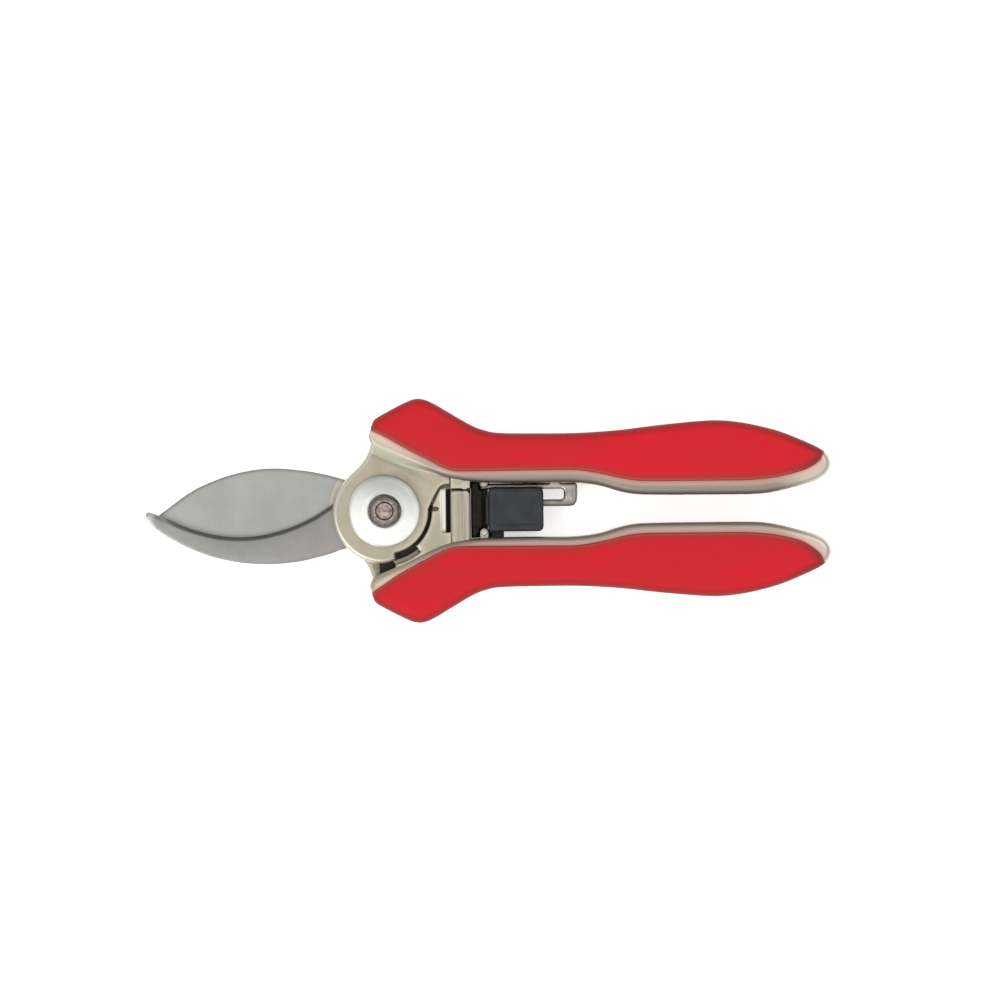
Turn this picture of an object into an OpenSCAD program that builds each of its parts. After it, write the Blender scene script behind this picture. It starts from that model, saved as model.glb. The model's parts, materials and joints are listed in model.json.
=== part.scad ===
// Compact hand pruner with a curved blade that passes a hooked counter blade.
// Frame: origin on the pivot axis, in the plane the tool lies on: the rear face of the
// pivot bolt's head and the backs of both grips stand at Z = 0.
// +X runs along the handles, -X along the jaws, +Z along the pivot axis towards the nut.
// The modules below are drawn about the plane where the jaws meet, and place() lifts
// them to that height. Front means +Z and left means -X.
// Everything is in millimetres and stands in the closed position.

/* [Handles] */
// Distance from the pivot axis to the end of the handles
handle_len = 111.25; // [106:0.25:118]
// Half thickness of the alloy rim that shows beside the grips
rim_h = 5.5; // [5.2:0.1:6]
// Half thickness of the soft grips
grip_h = 6.5; // [6.3:0.1:7.2]
// Half thickness of the core rib inside each grip
rib_h = 3.6; // [3.3:0.1:4.2]
// Thickness of each pivot plate
plate_t = 2.0; // [1.8:0.1:2.2]
// Radius of the round boss around the pivot, on the side of the partner's web
boss_r = 10.9; // [10.85:0.05:11]
// How much nearer to the inner edge of the rim the lower grip reaches
seam_drop = 0.9; // [0:0.1:1]

/* [Jaws] */
// Distance from the pivot axis to the tip of the counter blade
jaw_len = 59.8; // [54:0.2:66]
// Thickness of each jaw
jaw_t = 2.4; // [2.2:0.1:2.6]
// Gap between each jaw face and its neighbour
lap = 0.05; // [0.02:0.01:0.08]
// Width of the ground bevel on the blade
bevel_w = 3.2; // [2:0.2:4]

/* [Pivot] */
// Outside radius of the pivot bush
bush_r = 4.5; // [4.2:0.1:4.7]
// Radial running clearance of the moving parts on the bush
run = 0.05; // [0.02:0.01:0.09]
// Outside radius of the spring cover
cover_r = 9.0; // [8.9:0.05:9.6]
// Height of the spring cover above the front plate
cover_h = 2.9; // [2.8:0.1:3.4]
// Distance across the flats of the pivot nut
nut_af = 7.0; // [6.6:0.1:7.2]
// Wire diameter of the return spring
spring_wire = 0.8; // [0.6:0.05:0.8]
// Number of turns of the return spring
spring_turns = 1.25; // [1:0.05:1.25]
// Largest opening angle of the handles
open_deg = 28; // [20:1:30]

/* [Lock] */
// Length of the sliding lock button
button_l = 13.8; // [12.5:0.1:14]
// Half thickness of the lock button
button_h = 4.3; // [3.8:0.1:4.8]
// Travel of the button to the right, to release the handles
lock_out = 4; // [3:0.1:4.2]

/* [Hidden] */

nickel = [0.70, 0.66, 0.60];
steel = [0.66, 0.66, 0.64];
chrome = [0.86, 0.86, 0.84];
bronze = [0.72, 0.55, 0.28];
red = [0.82, 0.16, 0.20];
black = [0.17, 0.18, 0.20];
dark = [0.07, 0.07, 0.06];

plate_in = jaw_t + 2 * lap;       // inner face of the pivot plates
plate_out = plate_in + plate_t;   // outer face of the pivot plates

// rivets that hold the tangs
rivet_at = [[4.2, 19.7], [8.4, 19.7]];
rivet_r = 1.4;
rivet_head_r = 1.95;
rivet_head_t = 0.55;
rivet_fit = 0.05;                 // clearance round and under the rivets

// pivot stack
shank_r = 2.5;
shank_bore_r = shank_r + 0.05;
thread_r = 2.0;
thread_hole_r = thread_r + 0.1;
cover_z = plate_out + 0.02;
cover_floor = 0.55;
lock_washer_z = cover_z + cover_floor + 0.03;
lock_washer_t = 0.6;
nut_z = lock_washer_z + lock_washer_t + 0.02;

// spring and its drive pin
pin_rad = 7.2;                    // radius on which the drive pin travels
pin_r = 0.9;
pin_deg = 120;                    // place of the drive pin with the handles closed
spring_rad = 5.7;                 // radius of the coil
leg_deg = pin_deg + 13;           // where the free leg leaves the coil
coil_end_deg = leg_deg + 360 * spring_turns;

// ears beside the lock button, and the pins in them
ear_x = 24.75;
up_ear_y = 6.7;
lo_ear_y = 5.6;
ear_r = 1.1;
ear_in = 1.5;
ear_out = 3;
ear_hole_r = 0.75;

// lock guide and the slots round it
guide_h = 0.95;                   // half thickness
guide_play = 0.1;
upper_rail_y = 5.15;              // lower edge of the upper rail
lower_rail_x = 37.6;              // left end of the lower rail
lower_rail_y = [0.85, 2.6];
tab_x = [41, 44];
tab_y = 8.5;
tab_fit = 0.05;

bumper_rivet_at = [19.9, 6.25];
bumper_hole_r = 0.7;

// ---- curves -------------------------------------------------------------
function catmull_rom(before, start, end, after, t) = 0.5 * (2 * start + (end - before) * t
    + (2 * before - 5 * start + 4 * end - after) * t * t
    + (3 * start - before - 3 * end + after) * t * t * t);
// entry i of a list, held at the ends
function clamped(list, i) = list[max(0, min(len(list) - 1, i))];
// smooth open curve through every point
function spline(points, steps) = [
    for (i = [0:len(points) - 2], k = [0:steps - 1])
        catmull_rom(clamped(points, i - 1), points[i], points[i + 1],
            clamped(points, i + 2), k / steps),
    points[len(points) - 1]];
function reversed(list) = [for (i = [len(list) - 1:-1:0]) list[i]];
function unit(vector) = vector / norm(vector);
function at_angle(radius, deg) = radius * [cos(deg), sin(deg)];
function arc(radius, from, to, steps = 20) =
    [for (k = [0:steps]) at_angle(radius, from + (to - from) * k / steps)];
function rect(from, to) = [from, [to[0], from[1]], to, [from[0], to[1]]];

// The outlines are drawn for handles of 111.25 and jaws of 59.8; other lengths
// stretch only what lies beyond these distances from the pivot
handle_fixed = 50;
handle_scale = (handle_len - handle_fixed) / (111.25 - handle_fixed);
jaw_fixed = 15;
jaw_scale = (jaw_len - jaw_fixed) / (59.8 - jaw_fixed);
function handle_curve(points) = [for (p = spline(points, 3))
    p[0] <= handle_fixed ? p : [handle_fixed + (p[0] - handle_fixed) * handle_scale, p[1]]];
function jaw_curve(points, steps) = [for (p = spline(points, steps))
    p[0] >= -jaw_fixed ? p : [-jaw_fixed + (p[0] + jaw_fixed) * jaw_scale, p[1]]];

// ---- handle outlines, [x, y] from the guard to the end of the handle ----
// inner edge of the alloy rim
rim_inner = handle_curve([[-3.9, 18.6], [-2.9, 16.6], [0, 15.1], [3.75, 13.5], [7.5, 11.7],
    [11.25, 9.85], [15, 8.3], [19, 7.45], [23.5, 6.95], [30, 6.75], [38, 6.7], [45, 6.75],
    [49.5, 6.5], [53.75, 5.85], [58.5, 4.45], [62, 3.75], [66, 3.5], [75, 3.42], [85, 3.4],
    [92, 3.45], [96, 3.8], [100, 4.6], [103.75, 5.55], [107, 6.5], [109.2, 7.6],
    [110.7, 9.1], [111.25, 10.9], [110.8, 12.6], [109.7, 14.1]]);
// line where the grip meets the rim
seam = handle_curve([[-3.3, 20.3], [-0.75, 19.1], [0.75, 18.3], [3.75, 16.6], [6.75, 14.9],
    [11.25, 12.6], [14.5, 10.9], [17, 10.05], [20, 9.85], [30, 9.9], [40, 9.95], [47, 9.95],
    [50.5, 9.6], [55, 8.75], [60, 7.6], [64, 7.1], [70, 7.0], [80, 7.0], [90, 7.05],
    [95, 7.4], [99, 8.0], [103.75, 9.2], [106.5, 10.4], [108.4, 11.8], [109.3, 13.4]]);
grip_outer = handle_curve([[-3.3, 20.9], [-2.5, 22.7], [-0.75, 23.9], [2.25, 25.5],
    [5.25, 27.0], [7.6, 27.85], [9.9, 27.75], [12.75, 26.5], [15.75, 24.7], [18.75, 22.9],
    [21.75, 21.2], [24.75, 20.0], [28.75, 19.25], [38.75, 19.05], [48.75, 19.1],
    [58.75, 19.75], [68.75, 20.9], [78.75, 21.8], [84, 21.9], [88.75, 21.4], [93.75, 20.4],
    [98.75, 19.0], [103.75, 17.0], [107.5, 15.3], [109.4, 14.2]]);
// outer edge of the core rib, hidden in the grip
rib_outer = handle_curve([[0.2, 20.3], [1.2, 22.0], [3.5, 23.3], [6, 24.3], [9, 24.8],
    [12, 23.7], [15.75, 21.5], [20, 19.0], [24.75, 17.0], [30, 16.3], [45, 16.2],
    [58.75, 16.8], [68.75, 17.9], [78.75, 18.8], [84, 18.9], [93.75, 17.4], [98.75, 16.0],
    [103.75, 14.0], [106.2, 12.4]]);

// the seam moved inwards by drop, fading to nothing over seam_fade at both ends
seam_fade = 6;
function seam_at(drop) = [for (p = seam) [p[0], p[1] - drop
    * min(1, (p[0] - seam[0][0]) / seam_fade)
    * min(1, max(0, (handle_len - 2 - p[0]) / seam_fade))]];
// inner edge of the core rib, just inside the rim
function rib_inner(drop) = [for (p = seam_at(drop))
    if (p[0] > rib_outer[0][0] && p[0] < handle_len - 5) [p[0], p[1] - 0.6]];
function rib_outline(drop) = concat(rib_inner(drop), reversed(rib_outer));

// lobe of the boss towards the jaws: [angle, radius beyond boss_r]
boss_lobe = [[-77.5, 1.45], [-84, 1.85], [-93, 2.15], [-110, 2.3], [-135, 2.3],
    [-160, 2.25], [-180, 2.15], [-198, 1.9], [-212, 1.5]];
// small beside the partner's web, with a step that stops the web when the handles are
// open, then the wider lobe
boss = concat(arc(boss_r, 9, -76.5),
    [for (p = spline([for (s = boss_lobe) [s[0], boss_r + s[1]]], 6)) at_angle(p[1], p[0])]);

// plate in front of the jaws
front_plate = [[-1.6, 17.4], [-3.2, 16.6], [-3.75, 15.4], [-4.2, 14.2], [-5, 12.8],
    [-6.25, 11.25], [-7.6, 9.95], [-9, 8.7], [-10.4, 7.0], [-11.2, 5.6], [0, -2],
    [11.0, 0.6], [11.35, 1.5], [12.05, 3.0], [12.8, 4.4], [13.5, 5.6], [14.3, 6.3],
    [15.4, 6.55], [16.3, 6.6], [16.3, 9], [11.25, 11.4], [7.5, 13.2], [3, 15.4]];
// plate behind the jaws, with its tongue, before it is cut round the partner's boss
rear_plate = [[2.6, 15.2], [2.9, 11], [8, 4], [11.6, 0], [13.3, -0.1], [13.3, -0.8],
    [11.8, -1.0], [12.2, -2.0], [13.1, -4.0], [13.9, -5.4], [14.9, -5.85], [15.25, -5.6],
    [15.25, 5.4], [16.35, 5.4], [16.35, -5.0], [20.7, -5.0], [21.4, -4.0], [21.4, 8.0],
    [16, 9], [11.25, 11], [7.5, 12.9]];
stop_block = [[16.35, -5.0], [20.7, -5.0], [21.4, -4.0], [21.4, 8.0], [16.35, 8.6]];
stop_pad = [[16.3, 5.45], [21.4, 5.45], [21.4, 8.4], [16.3, 9.2]];
slot_wall = [[15.0, -5.2], [16.6, -4.9], [16.6, 6], [15.0, 6]];
bay_wall = rect([21.3, -4.2], [24.9, 8.3]);

// ---- jaw outlines, [x, y] from the tip to the pivot ---------------------
hook_in = jaw_curve([[-59.6, 0.0], [-59.0, 0.2], [-57.9, -0.2], [-56.25, -1.1],
    [-54.25, -2.05], [-50.25, -3.85], [-46.25, -5.2], [-42.25, -6.15], [-38.25, -6.6],
    [-34.25, -6.6], [-30.25, -6.15], [-26.25, -5.2], [-22.25, -3.85], [-18.25, -2.0],
    [-16.25, -0.8], [-14.25, 0.5], [-12, 2.2], [-9, 4.2]], 4);
hook_out = jaw_curve([[-59.8, -0.4], [-59.4, -1.6], [-58.25, -3.0], [-56.25, -4.6],
    [-54.25, -5.95], [-50.25, -8.2], [-46.25, -9.95], [-42.25, -11.3], [-38.25, -12.2],
    [-34.25, -12.8], [-28.25, -13.05], [-22.25, -12.55], [-18.25, -11.75],
    [-14.25, -10.75], [-10.25, -9.4], [-6, -8.6]], 4);
// back and cutting edge of the blade: one point of each per station
blade_back = jaw_curve([[-56.95, -0.95], [-56.25, -0.3], [-54.25, 1.1], [-52.25, 2.6],
    [-50.25, 4.05], [-48.25, 5.3], [-46.25, 6.4], [-42.25, 8.1], [-38.25, 9.4],
    [-34.25, 10.3], [-30.25, 10.8], [-26.25, 10.85], [-22.25, 10.5], [-18.25, 9.95],
    [-14.25, 9.1], [-10.25, 8.0], [-6, 7.2]], 3);
blade_edge = jaw_curve([[-57.0, -1.3], [-56.25, -2.05], [-54.25, -3.4], [-52.25, -4.5],
    [-50.25, -5.4], [-48.25, -6.2], [-46.25, -6.9], [-42.25, -7.9], [-38.25, -8.4],
    [-34.25, -8.4], [-30.25, -7.9], [-26.25, -7.0], [-22.25, -5.7], [-18.25, -4.4],
    [-14.25, -3.4], [-10.25, -3.05], [-6, -2.9]], 3);
edge_t = 0.25;                    // thickness left at the cutting edge
jaw_disc_r = 10.8;                // round part of each jaw at the pivot

tang = [[-4.5, 8.5], [0.6, 13.4], [1.0, 20.6], [3.4, 22.2], [9.4, 22.2], [11.0, 20.2],
    [11.2, 12.0], [10, 3]];
tang_pocket = [[-5, 8], [0.45, 13.2], [0.85, 20.8], [3.3, 22.4], [9.6, 22.4],
    [11.2, 20.4], [11.4, 8], [8, 6]];

// ---- shared shapes ------------------------------------------------------
// lifts a piece from the jaw plane to its height above the resting plane
module place() { translate([0, 0, grip_h]) children(); }
// turns an upper piece over to make the lower one
module turn_over() { rotate([180, 0, 0]) children(); }
module slab(low, high) { translate([0, 0, low]) linear_extrude(high - low) children(); }
// slab centred on the jaw plane
module mid_slab(half) { slab(-half, half) children(); }
module disc(radius, low, high, centre = [0, 0], sides = 64) {
    translate([centre[0], centre[1], low]) cylinder(r = radius, h = high - low, $fn = sides);
}
module ring(outer, inner, low, high, sides) {
    difference() {
        disc(outer, low, high, sides = sides);
        disc(inner, low - 1, high + 1);
    }
}
// arc slot in which the spring drive pin travels
module pin_travel(low, high) {
    half = pin_r + 0.1;
    overlap = 0.03;               // keeps the sector inside the round ends
    from = pin_deg - open_deg;
    slab(low, high) polygon(concat(
        arc(pin_rad - half + overlap, from, pin_deg, 10),
        arc(pin_rad + half - overlap, pin_deg, from, 10)));
    for (deg = [from, pin_deg]) disc(half, low, high, at_angle(pin_rad, deg));
}

// ---- handle frame: the upper one; the lower one is the same casting turned over ----
module rear_web() {
    slab(-plate_out, -plate_in) difference() {
        polygon(rear_plate);
        // room for the partner's boss and its lobe
        polygon(concat([[0, 0]], arc(boss_r + 0.8, -30, 48.5), arc(boss_r + 2.6, 48.5, 130)));
    }
}
module ears(ear_y) {
    root_y = 8.4;
    for (low = [-ear_out, ear_in]) slab(low, low + ear_out - ear_in) union() {
        translate([ear_x, ear_y]) circle(r = ear_r, $fn = 32);
        translate([ear_x - ear_r, ear_y]) square([2 * ear_r, root_y - ear_y]);
    }
}
module tang_rivet_holes() {
    sink = rivet_head_t + rivet_fit;
    for (spot = rivet_at) {
        disc(rivet_r + rivet_fit, -rib_h - 1, rib_h + 1, spot);
        for (z = [-rib_h - 1, rib_h - sink])
            disc(rivet_head_r + rivet_fit, z, z + sink + 1, spot);
    }
}
module handle_frame(ear_y, walled, drop) {
    difference() {
        union() {
            mid_slab(rim_h) polygon(concat(rim_inner, reversed(seam_at(drop))));
            mid_slab(rib_h) polygon(rib_outline(drop));
            slab(plate_in, plate_out) polygon(front_plate);
            slab(plate_in, plate_out) polygon(boss);
            rear_web();
            // on the handle that carries the bumper, walls close the slot and the bumper's bay
            if (walled) slab(-plate_out, -plate_in) union() {
                polygon(slot_wall);
                polygon(bay_wall);
            }
            slab(-plate_in - 0.2, -0.15) polygon(stop_block);
            // pad that meets the partner's stop block
            mid_slab(plate_out) polygon(stop_pad);
            ears(ear_y);
        }
        disc(bush_r + run, -rim_h, rim_h, sides = 96);
        slab(0, plate_in) polygon(tang_pocket);
        tang_rivet_holes();
        disc(ear_hole_r, -ear_out - 0.5, ear_out + 0.5, [ear_x, ear_y]);
    }
}

module upper_handle_frame() {
    color(nickel) place() difference() {
        handle_frame(up_ear_y, true, 0);
        pin_travel(plate_in - 1, plate_out + 1);
        // hole that holds the spring's fixed leg
        disc(spring_wire / 2 + 0.25, plate_out - 1.5, plate_out + 1,
            at_angle(spring_rad, coil_end_deg + 8));
        // mortise for the tab of the lock guide
        mid_slab(guide_h + guide_play)
            polygon(rect([tab_x[0] - tab_fit, 6], [tab_x[1] + tab_fit, tab_y + tab_fit]));
        // pocket and hole that hold the bumper
        mid_slab(1.6) polygon(rect([18.3, 5], [21.6, 7.3]));
        disc(bumper_hole_r, -rim_h, rim_h, bumper_rivet_at);
        // room for the lock guide: its left end between the ears, then its upper rail
        mid_slab(1.2) polygon(rect([23.55, 5], [26, 7.9]));
        mid_slab(1.2) polygon(rect([25.9, 5], [49, 6.78]));
    }
}

module lower_handle_frame() {
    color(nickel) place() turn_over() difference() {
        handle_frame(lo_ear_y, false, seam_drop);
        // pocket for the foot of the lock button
        mid_slab(1.45) polygon(rect([23.2, 5], [34.4, 8.0]));
    }
}

// ---- grips --------------------------------------------------------------
module grip(drop) {
    difference() {
        mid_slab(grip_h) polygon(concat(grip_outer, reversed(seam_at(drop))));
        mid_slab(rib_h + 0.02) polygon(rib_outline(drop));
    }
}
module upper_grip() { color(red) place() grip(0); }
module lower_grip() { color(red) place() turn_over() grip(seam_drop); }

// ---- jaws ---------------------------------------------------------------
module jaw_holes() {
    for (spot = rivet_at) disc(rivet_r + rivet_fit, -1, jaw_t + 1, spot);
}
module hook_blade() {
    color(steel) place() translate([0, 0, lap]) difference() {
        union() {
            slab(0, jaw_t) polygon(concat(hook_out, [[0, -3], [0, 3]], reversed(hook_in)));
            disc(jaw_disc_r, 0, jaw_t, sides = 96);
            slab(0, jaw_t) polygon(tang);
        }
        disc(bush_r + 0.02, -1, jaw_t + 1, sides = 96);
        pin_travel(-1, jaw_t + 1);
        jaw_holes();
    }
}
// blade plate with its bevel ground on the rear face, lofted through sections of five
// points: back front, back rear, start of the bevel, edge rear, edge front
module bevelled_plate() {
    count = len(blade_edge);
    points = [for (i = [0:count - 1])
        let (back = blade_back[i], edge = blade_edge[i], across = back - edge,
            width = min(bevel_w, 0.55 * norm(across)),
            bevel = edge + width * across / norm(across))
        each [[back[0], back[1], jaw_t], [back[0], back[1], 0], [bevel[0], bevel[1], 0],
            [edge[0], edge[1], jaw_t - edge_t], [edge[0], edge[1], jaw_t]]];
    faces = concat([[4, 3, 2, 1, 0]],
        [for (i = [0:count - 2]) let (this = 5 * i, next = this + 5) each [
            [this, next, next + 4, this + 4],
            [this + 1, this + 2, next + 2, next + 1],
            [this, this + 1, next + 1, next],
            [this + 2, this + 3, next + 3],
            [this + 2, next + 3, next + 2],
            [this + 3, this + 4, next + 4, next + 3]]],
        [[for (k = [0:4]) 5 * count - 5 + k]]);
    polyhedron(points = points, faces = faces, convexity = 6);
}
module cutting_blade() {
    color(steel) place() translate([0, 0, -lap - jaw_t]) difference() {
        union() {
            bevelled_plate();
            // neck between the bevelled plate and the round part
            slab(0, jaw_t) polygon([[-9.5, 7.75], [-9.5, -2.8], [0, -4], [0, 4]]);
            disc(jaw_disc_r, 0, jaw_t, sides = 96);
            mirror([0, 1, 0]) slab(0, jaw_t) polygon(tang);
        }
        disc(bush_r + run, -1, jaw_t + 1, sides = 96);
        mirror([0, 1, 0]) jaw_holes();
        disc(pin_r, -1, jaw_t + 1, at_angle(pin_rad, pin_deg));
    }
}

module rivets() {
    for (spot = rivet_at) {
        disc(rivet_r, -rib_h, rib_h, spot);
        for (z = [-rib_h, rib_h - rivet_head_t])
            disc(rivet_head_r, z, z + rivet_head_t, spot);
    }
}
module hook_rivets() { color(steel) place() rivets(); }
module blade_rivets() { color(steel) place() turn_over() rivets(); }

// ---- pivot --------------------------------------------------------------
module pivot_bush() {
    half = plate_out - 0.03;
    color(bronze) place() ring(bush_r, shank_bore_r, -half, half, 96);
}
module rear_washer() {
    color(steel) place() ring(7.6, shank_bore_r, -plate_out - 0.5, -plate_out - 0.03, 96);
}
module pivot_bolt() {
    head_r = 6.6;
    bevel = 0.5;
    slot_w = 0.6;
    color(steel) place() difference() {
        union() {
            translate([0, 0, -grip_h])
                cylinder(r1 = head_r - bevel, r2 = head_r, h = bevel, $fn = 96);
            disc(head_r, -grip_h + bevel, -plate_out - 0.52, sides = 96);
            disc(shank_r, -plate_out - 0.6, plate_out);
            disc(thread_r, 0, plate_out + 3.55);
        }
        // screwdriver slot in the threaded end
        translate([-3, -slot_w / 2, plate_out + 2.9]) cube([6, slot_w, 2]);
    }
}
// cup with a sunken floor round the thread; profile is [radius, z]
module spring_cover() {
    top = cover_h;
    rim = cover_r;
    color(chrome) place() translate([0, 0, cover_z]) rotate_extrude($fn = 120)
        polygon([[thread_hole_r, 0], [4.9, 0], [4.9, top - 0.75], [5.3, top - 0.6],
            [rim - 1.6, top - 0.95], [rim - 0.95, top - 1.3], [rim - 0.65, top - 1.9],
            [rim - 0.65, 0], [rim, 0], [rim, top - 1.6], [rim - 0.2, top - 1.0],
            [rim - 0.7, top - 0.55], [rim - 1.5, top - 0.3], [5.2, top], [4.7, top - 0.05],
            [4.4, top - 0.4], [4.4, cover_floor], [thread_hole_r, cover_floor]]);
}
module lock_washer() {
    split_w = 0.5;
    color(steel) place() translate([0, 0, lock_washer_z]) difference() {
        ring(3.7, thread_hole_r, 0, lock_washer_t, 64);
        translate([1, -split_w / 2, -1]) cube([4, split_w, 3]);
    }
}
module pivot_nut() {
    height = 2.1;
    corners = nut_af / cos(30);
    color(steel) place() translate([0, 0, nut_z]) difference() {
        intersection() {
            rotate([0, 0, 30]) cylinder(d = corners, h = height, $fn = 6);
            // cone that rounds the front corners
            cylinder(r1 = corners / 2 + 1.6, r2 = nut_af / 2 + 0.12, h = height, $fn = 96);
        }
        disc(thread_r + 0.02, -1, 3);
    }
}
// torsion spring round the cover's hub: one end bears on the drive pin, the other
// end is bent down into the front plate
module return_spring() {
    wire_r = spring_wire / 2;
    sides = 10;
    steps = 44;
    base = plate_out + 0.07 + wire_r;
    rise = spring_turns * (spring_wire + 0.05);
    bend_drop = [0.12, 0.45, 1.0];
    function coil_point(radius, deg, z) = [radius * cos(deg), radius * sin(deg), z];
    path = concat(
        // free leg
        [for (k = [0:2]) coil_point(spring_rad + 1.4 - 0.5 * k, leg_deg - 3 + k,
            base + rise - 0.15 * (2 - k))],
        [for (k = [0:steps]) coil_point(spring_rad, leg_deg + 360 * spring_turns * k / steps,
            base + rise * (1 - k / steps))],
        // bend and fixed leg
        [for (k = [0:2]) coil_point(spring_rad, coil_end_deg + 2.6 * (k + 1),
            base - bend_drop[k])],
        [coil_point(spring_rad, coil_end_deg + 8.1, base - 1.7)]);
    count = len(path);
    points = [for (i = [0:count - 1])
        let (along = unit(clamped(path, i + 1) - clamped(path, i - 1)),
            side = unit(cross(along, [0, 0, 1])), up = cross(side, along))
        for (k = [0:sides - 1])
            path[i] + wire_r * (cos(360 * k / sides) * side + sin(360 * k / sides) * up)];
    faces = concat([[for (k = [0:sides - 1]) k]],
        [for (i = [0:count - 2], k = [0:sides - 1])
            let (this = i * sides, next = this + sides, turn = (k + 1) % sides)
            [this + k, next + k, next + turn, this + turn]],
        [[for (k = [sides - 1:-1:0]) (count - 1) * sides + k]]);
    color(steel) place() polyhedron(points = points, faces = faces, convexity = 8);
}
module spring_drive_pin() {
    color(steel) place()
        disc(pin_r - 0.02, -lap - jaw_t, plate_out + 1.5, at_angle(pin_rad, pin_deg));
}

// ---- lock ---------------------------------------------------------------
module lock_guide() {
    low = lower_rail_y[0];
    high = lower_rail_y[1];
    color(steel) place() difference() {
        mid_slab(guide_h) polygon([[23.7, upper_rail_y], [44.2, upper_rail_y], [44.7, 4.7],
            [44.7, 3.1], [44.2, high], [lower_rail_x, high], [lower_rail_x, low],
            [46.4, low], [47.3, 1.1], [47.9, 1.9], [48.1, 2.8], [48.1, 6.7],
            [tab_x[1], 6.7], [tab_x[1], tab_y], [tab_x[0], tab_y], [tab_x[0], 6.7],
            [26, 6.7], [25.85, 7.8], [23.7, 7.8]]);
        disc(ear_hole_r, -2, 2, [ear_x, up_ear_y]);
    }
}
module ear_pin(ear_y) {
    half = ear_out - 0.05;
    color(steel) place() disc(ear_hole_r - 0.03, -half, half, [ear_x, ear_y]);
}
module guide_pin() { ear_pin(up_ear_y); }
module catch_pin() { ear_pin(-lo_ear_y); }

module lock_button() {
    left = 25.8;
    right = left + button_l;
    past = right + 2;             // cuts run out beyond both ends
    before = left - 2;
    top = 5.6;
    bottom = -5.35;
    bevel = 1.2;
    foot_h = 1.25;
    ear_room_h = ear_out + 0.1;
    slot_low = lower_rail_y[0] - guide_play;
    slot_high = lower_rail_y[1] + guide_play;
    color(black) place() difference() {
        union() {
            mid_slab(button_h) polygon([[left + bevel, top], [left, top - bevel],
                [left, bottom + bevel], [left + bevel, bottom], [right - bevel, bottom],
                [right - 0.3, -5.0], [right, bottom + bevel], [right, top - bevel],
                [right - 0.3, 5.3], [right - bevel, top]]);
            // nose on the left
            mid_slab(3.6) polygon([[left - 0.7, -3.6], [left + 1, -3.9], [left + 1, 3.9],
                [left - 0.7, 3.6]]);
            // foot whose toe stands beside the catch pin
            mid_slab(foot_h) polygon([[26.5, -4.5], [26.5, -6.5], [25.95, -6.5],
                [25.85, -6.7], [25.85, -7.3], [26.15, -7.5], [29.2, -7.5], [29.7, -7.0],
                [29.7, -4.5]]);
        }
        // groove for the upper rail and blind slot for the lower rail of the guide
        mid_slab(guide_h + guide_play)
            polygon(rect([before, upper_rail_y - guide_play], [past, 7]));
        mid_slab(guide_h + guide_play)
            polygon(rect([lower_rail_x - 0.2 - lock_out, slot_low], [past, slot_high]));
        // mouth of that slot, open at the front face
        slab(0, button_h + 1) polygon(rect([lower_rail_x - 0.1, slot_low], [past, slot_high]));
        // room for the ears of both handles, leaving the foot whole
        mid_slab(ear_room_h) polygon(rect([before, 5.0], [27.6, 7]));
        difference() {
            mid_slab(ear_room_h) polygon(rect([before, -6.4], [27.5, -4.3]));
            mid_slab(foot_h) polygon(rect([26.5, -7], [28, -4]));
        }
    }
}

// ---- bumper -------------------------------------------------------------
module bumper() {
    color(dark) place() difference() {
        union() {
            slab(-plate_in + 0.05, 4.4) polygon([[21.85, -6.2], [22.15, -6.55],
                [22.7, -6.55], [23.4, -5.0], [23.4, -4.4], [24.3, -3.9], [24.3, 4.9],
                [23.45, 5.1], [23.45, 6.7], [21.85, 6.7]]);
            // tail held in the pocket of the upper handle
            mid_slab(1.5) polygon([[18.4, 5.35], [21.95, 5.35], [21.95, 6.7], [21.2, 7.2],
                [18.4, 7.2]]);
        }
        disc(bumper_hole_r, -3, 3, bumper_rivet_at);
    }
}
module bumper_rivet() {
    color(steel) place() union() {
        disc(bumper_hole_r - 0.03, -plate_out, plate_out + 0.2, bumper_rivet_at);
        disc(1.0, plate_out, plate_out + 0.4, bumper_rivet_at);
    }
}

upper_handle_frame();
lower_handle_frame();
upper_grip();
lower_grip();
hook_blade();
cutting_blade();
hook_rivets();
blade_rivets();
pivot_bolt();
pivot_bush();
rear_washer();
spring_cover();
lock_washer();
pivot_nut();
return_spring();
spring_drive_pin();
lock_guide();
guide_pin();
lock_button();
catch_pin();
bumper();
bumper_rivet();
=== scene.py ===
import bpy, bmesh, json, math
import numpy as np
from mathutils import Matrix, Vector
from mathutils.geometry import delaunay_2d_cdt

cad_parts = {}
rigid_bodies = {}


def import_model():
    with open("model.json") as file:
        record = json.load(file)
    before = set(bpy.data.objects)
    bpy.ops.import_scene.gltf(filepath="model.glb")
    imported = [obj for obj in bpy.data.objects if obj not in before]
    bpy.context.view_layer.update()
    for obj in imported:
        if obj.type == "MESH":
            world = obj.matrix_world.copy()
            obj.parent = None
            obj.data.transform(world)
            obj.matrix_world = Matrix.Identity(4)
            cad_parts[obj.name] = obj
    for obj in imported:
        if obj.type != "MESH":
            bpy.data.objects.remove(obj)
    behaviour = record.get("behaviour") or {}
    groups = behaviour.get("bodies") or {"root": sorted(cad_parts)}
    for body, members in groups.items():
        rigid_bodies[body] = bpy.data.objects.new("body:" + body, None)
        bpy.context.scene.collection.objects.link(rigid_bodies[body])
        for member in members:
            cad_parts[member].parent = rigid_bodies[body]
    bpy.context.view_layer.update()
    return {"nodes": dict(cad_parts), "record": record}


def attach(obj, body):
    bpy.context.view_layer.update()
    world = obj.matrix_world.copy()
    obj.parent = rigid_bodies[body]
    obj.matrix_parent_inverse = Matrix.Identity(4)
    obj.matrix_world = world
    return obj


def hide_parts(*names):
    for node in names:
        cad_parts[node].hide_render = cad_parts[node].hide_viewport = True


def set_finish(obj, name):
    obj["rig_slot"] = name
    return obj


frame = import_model()


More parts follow.
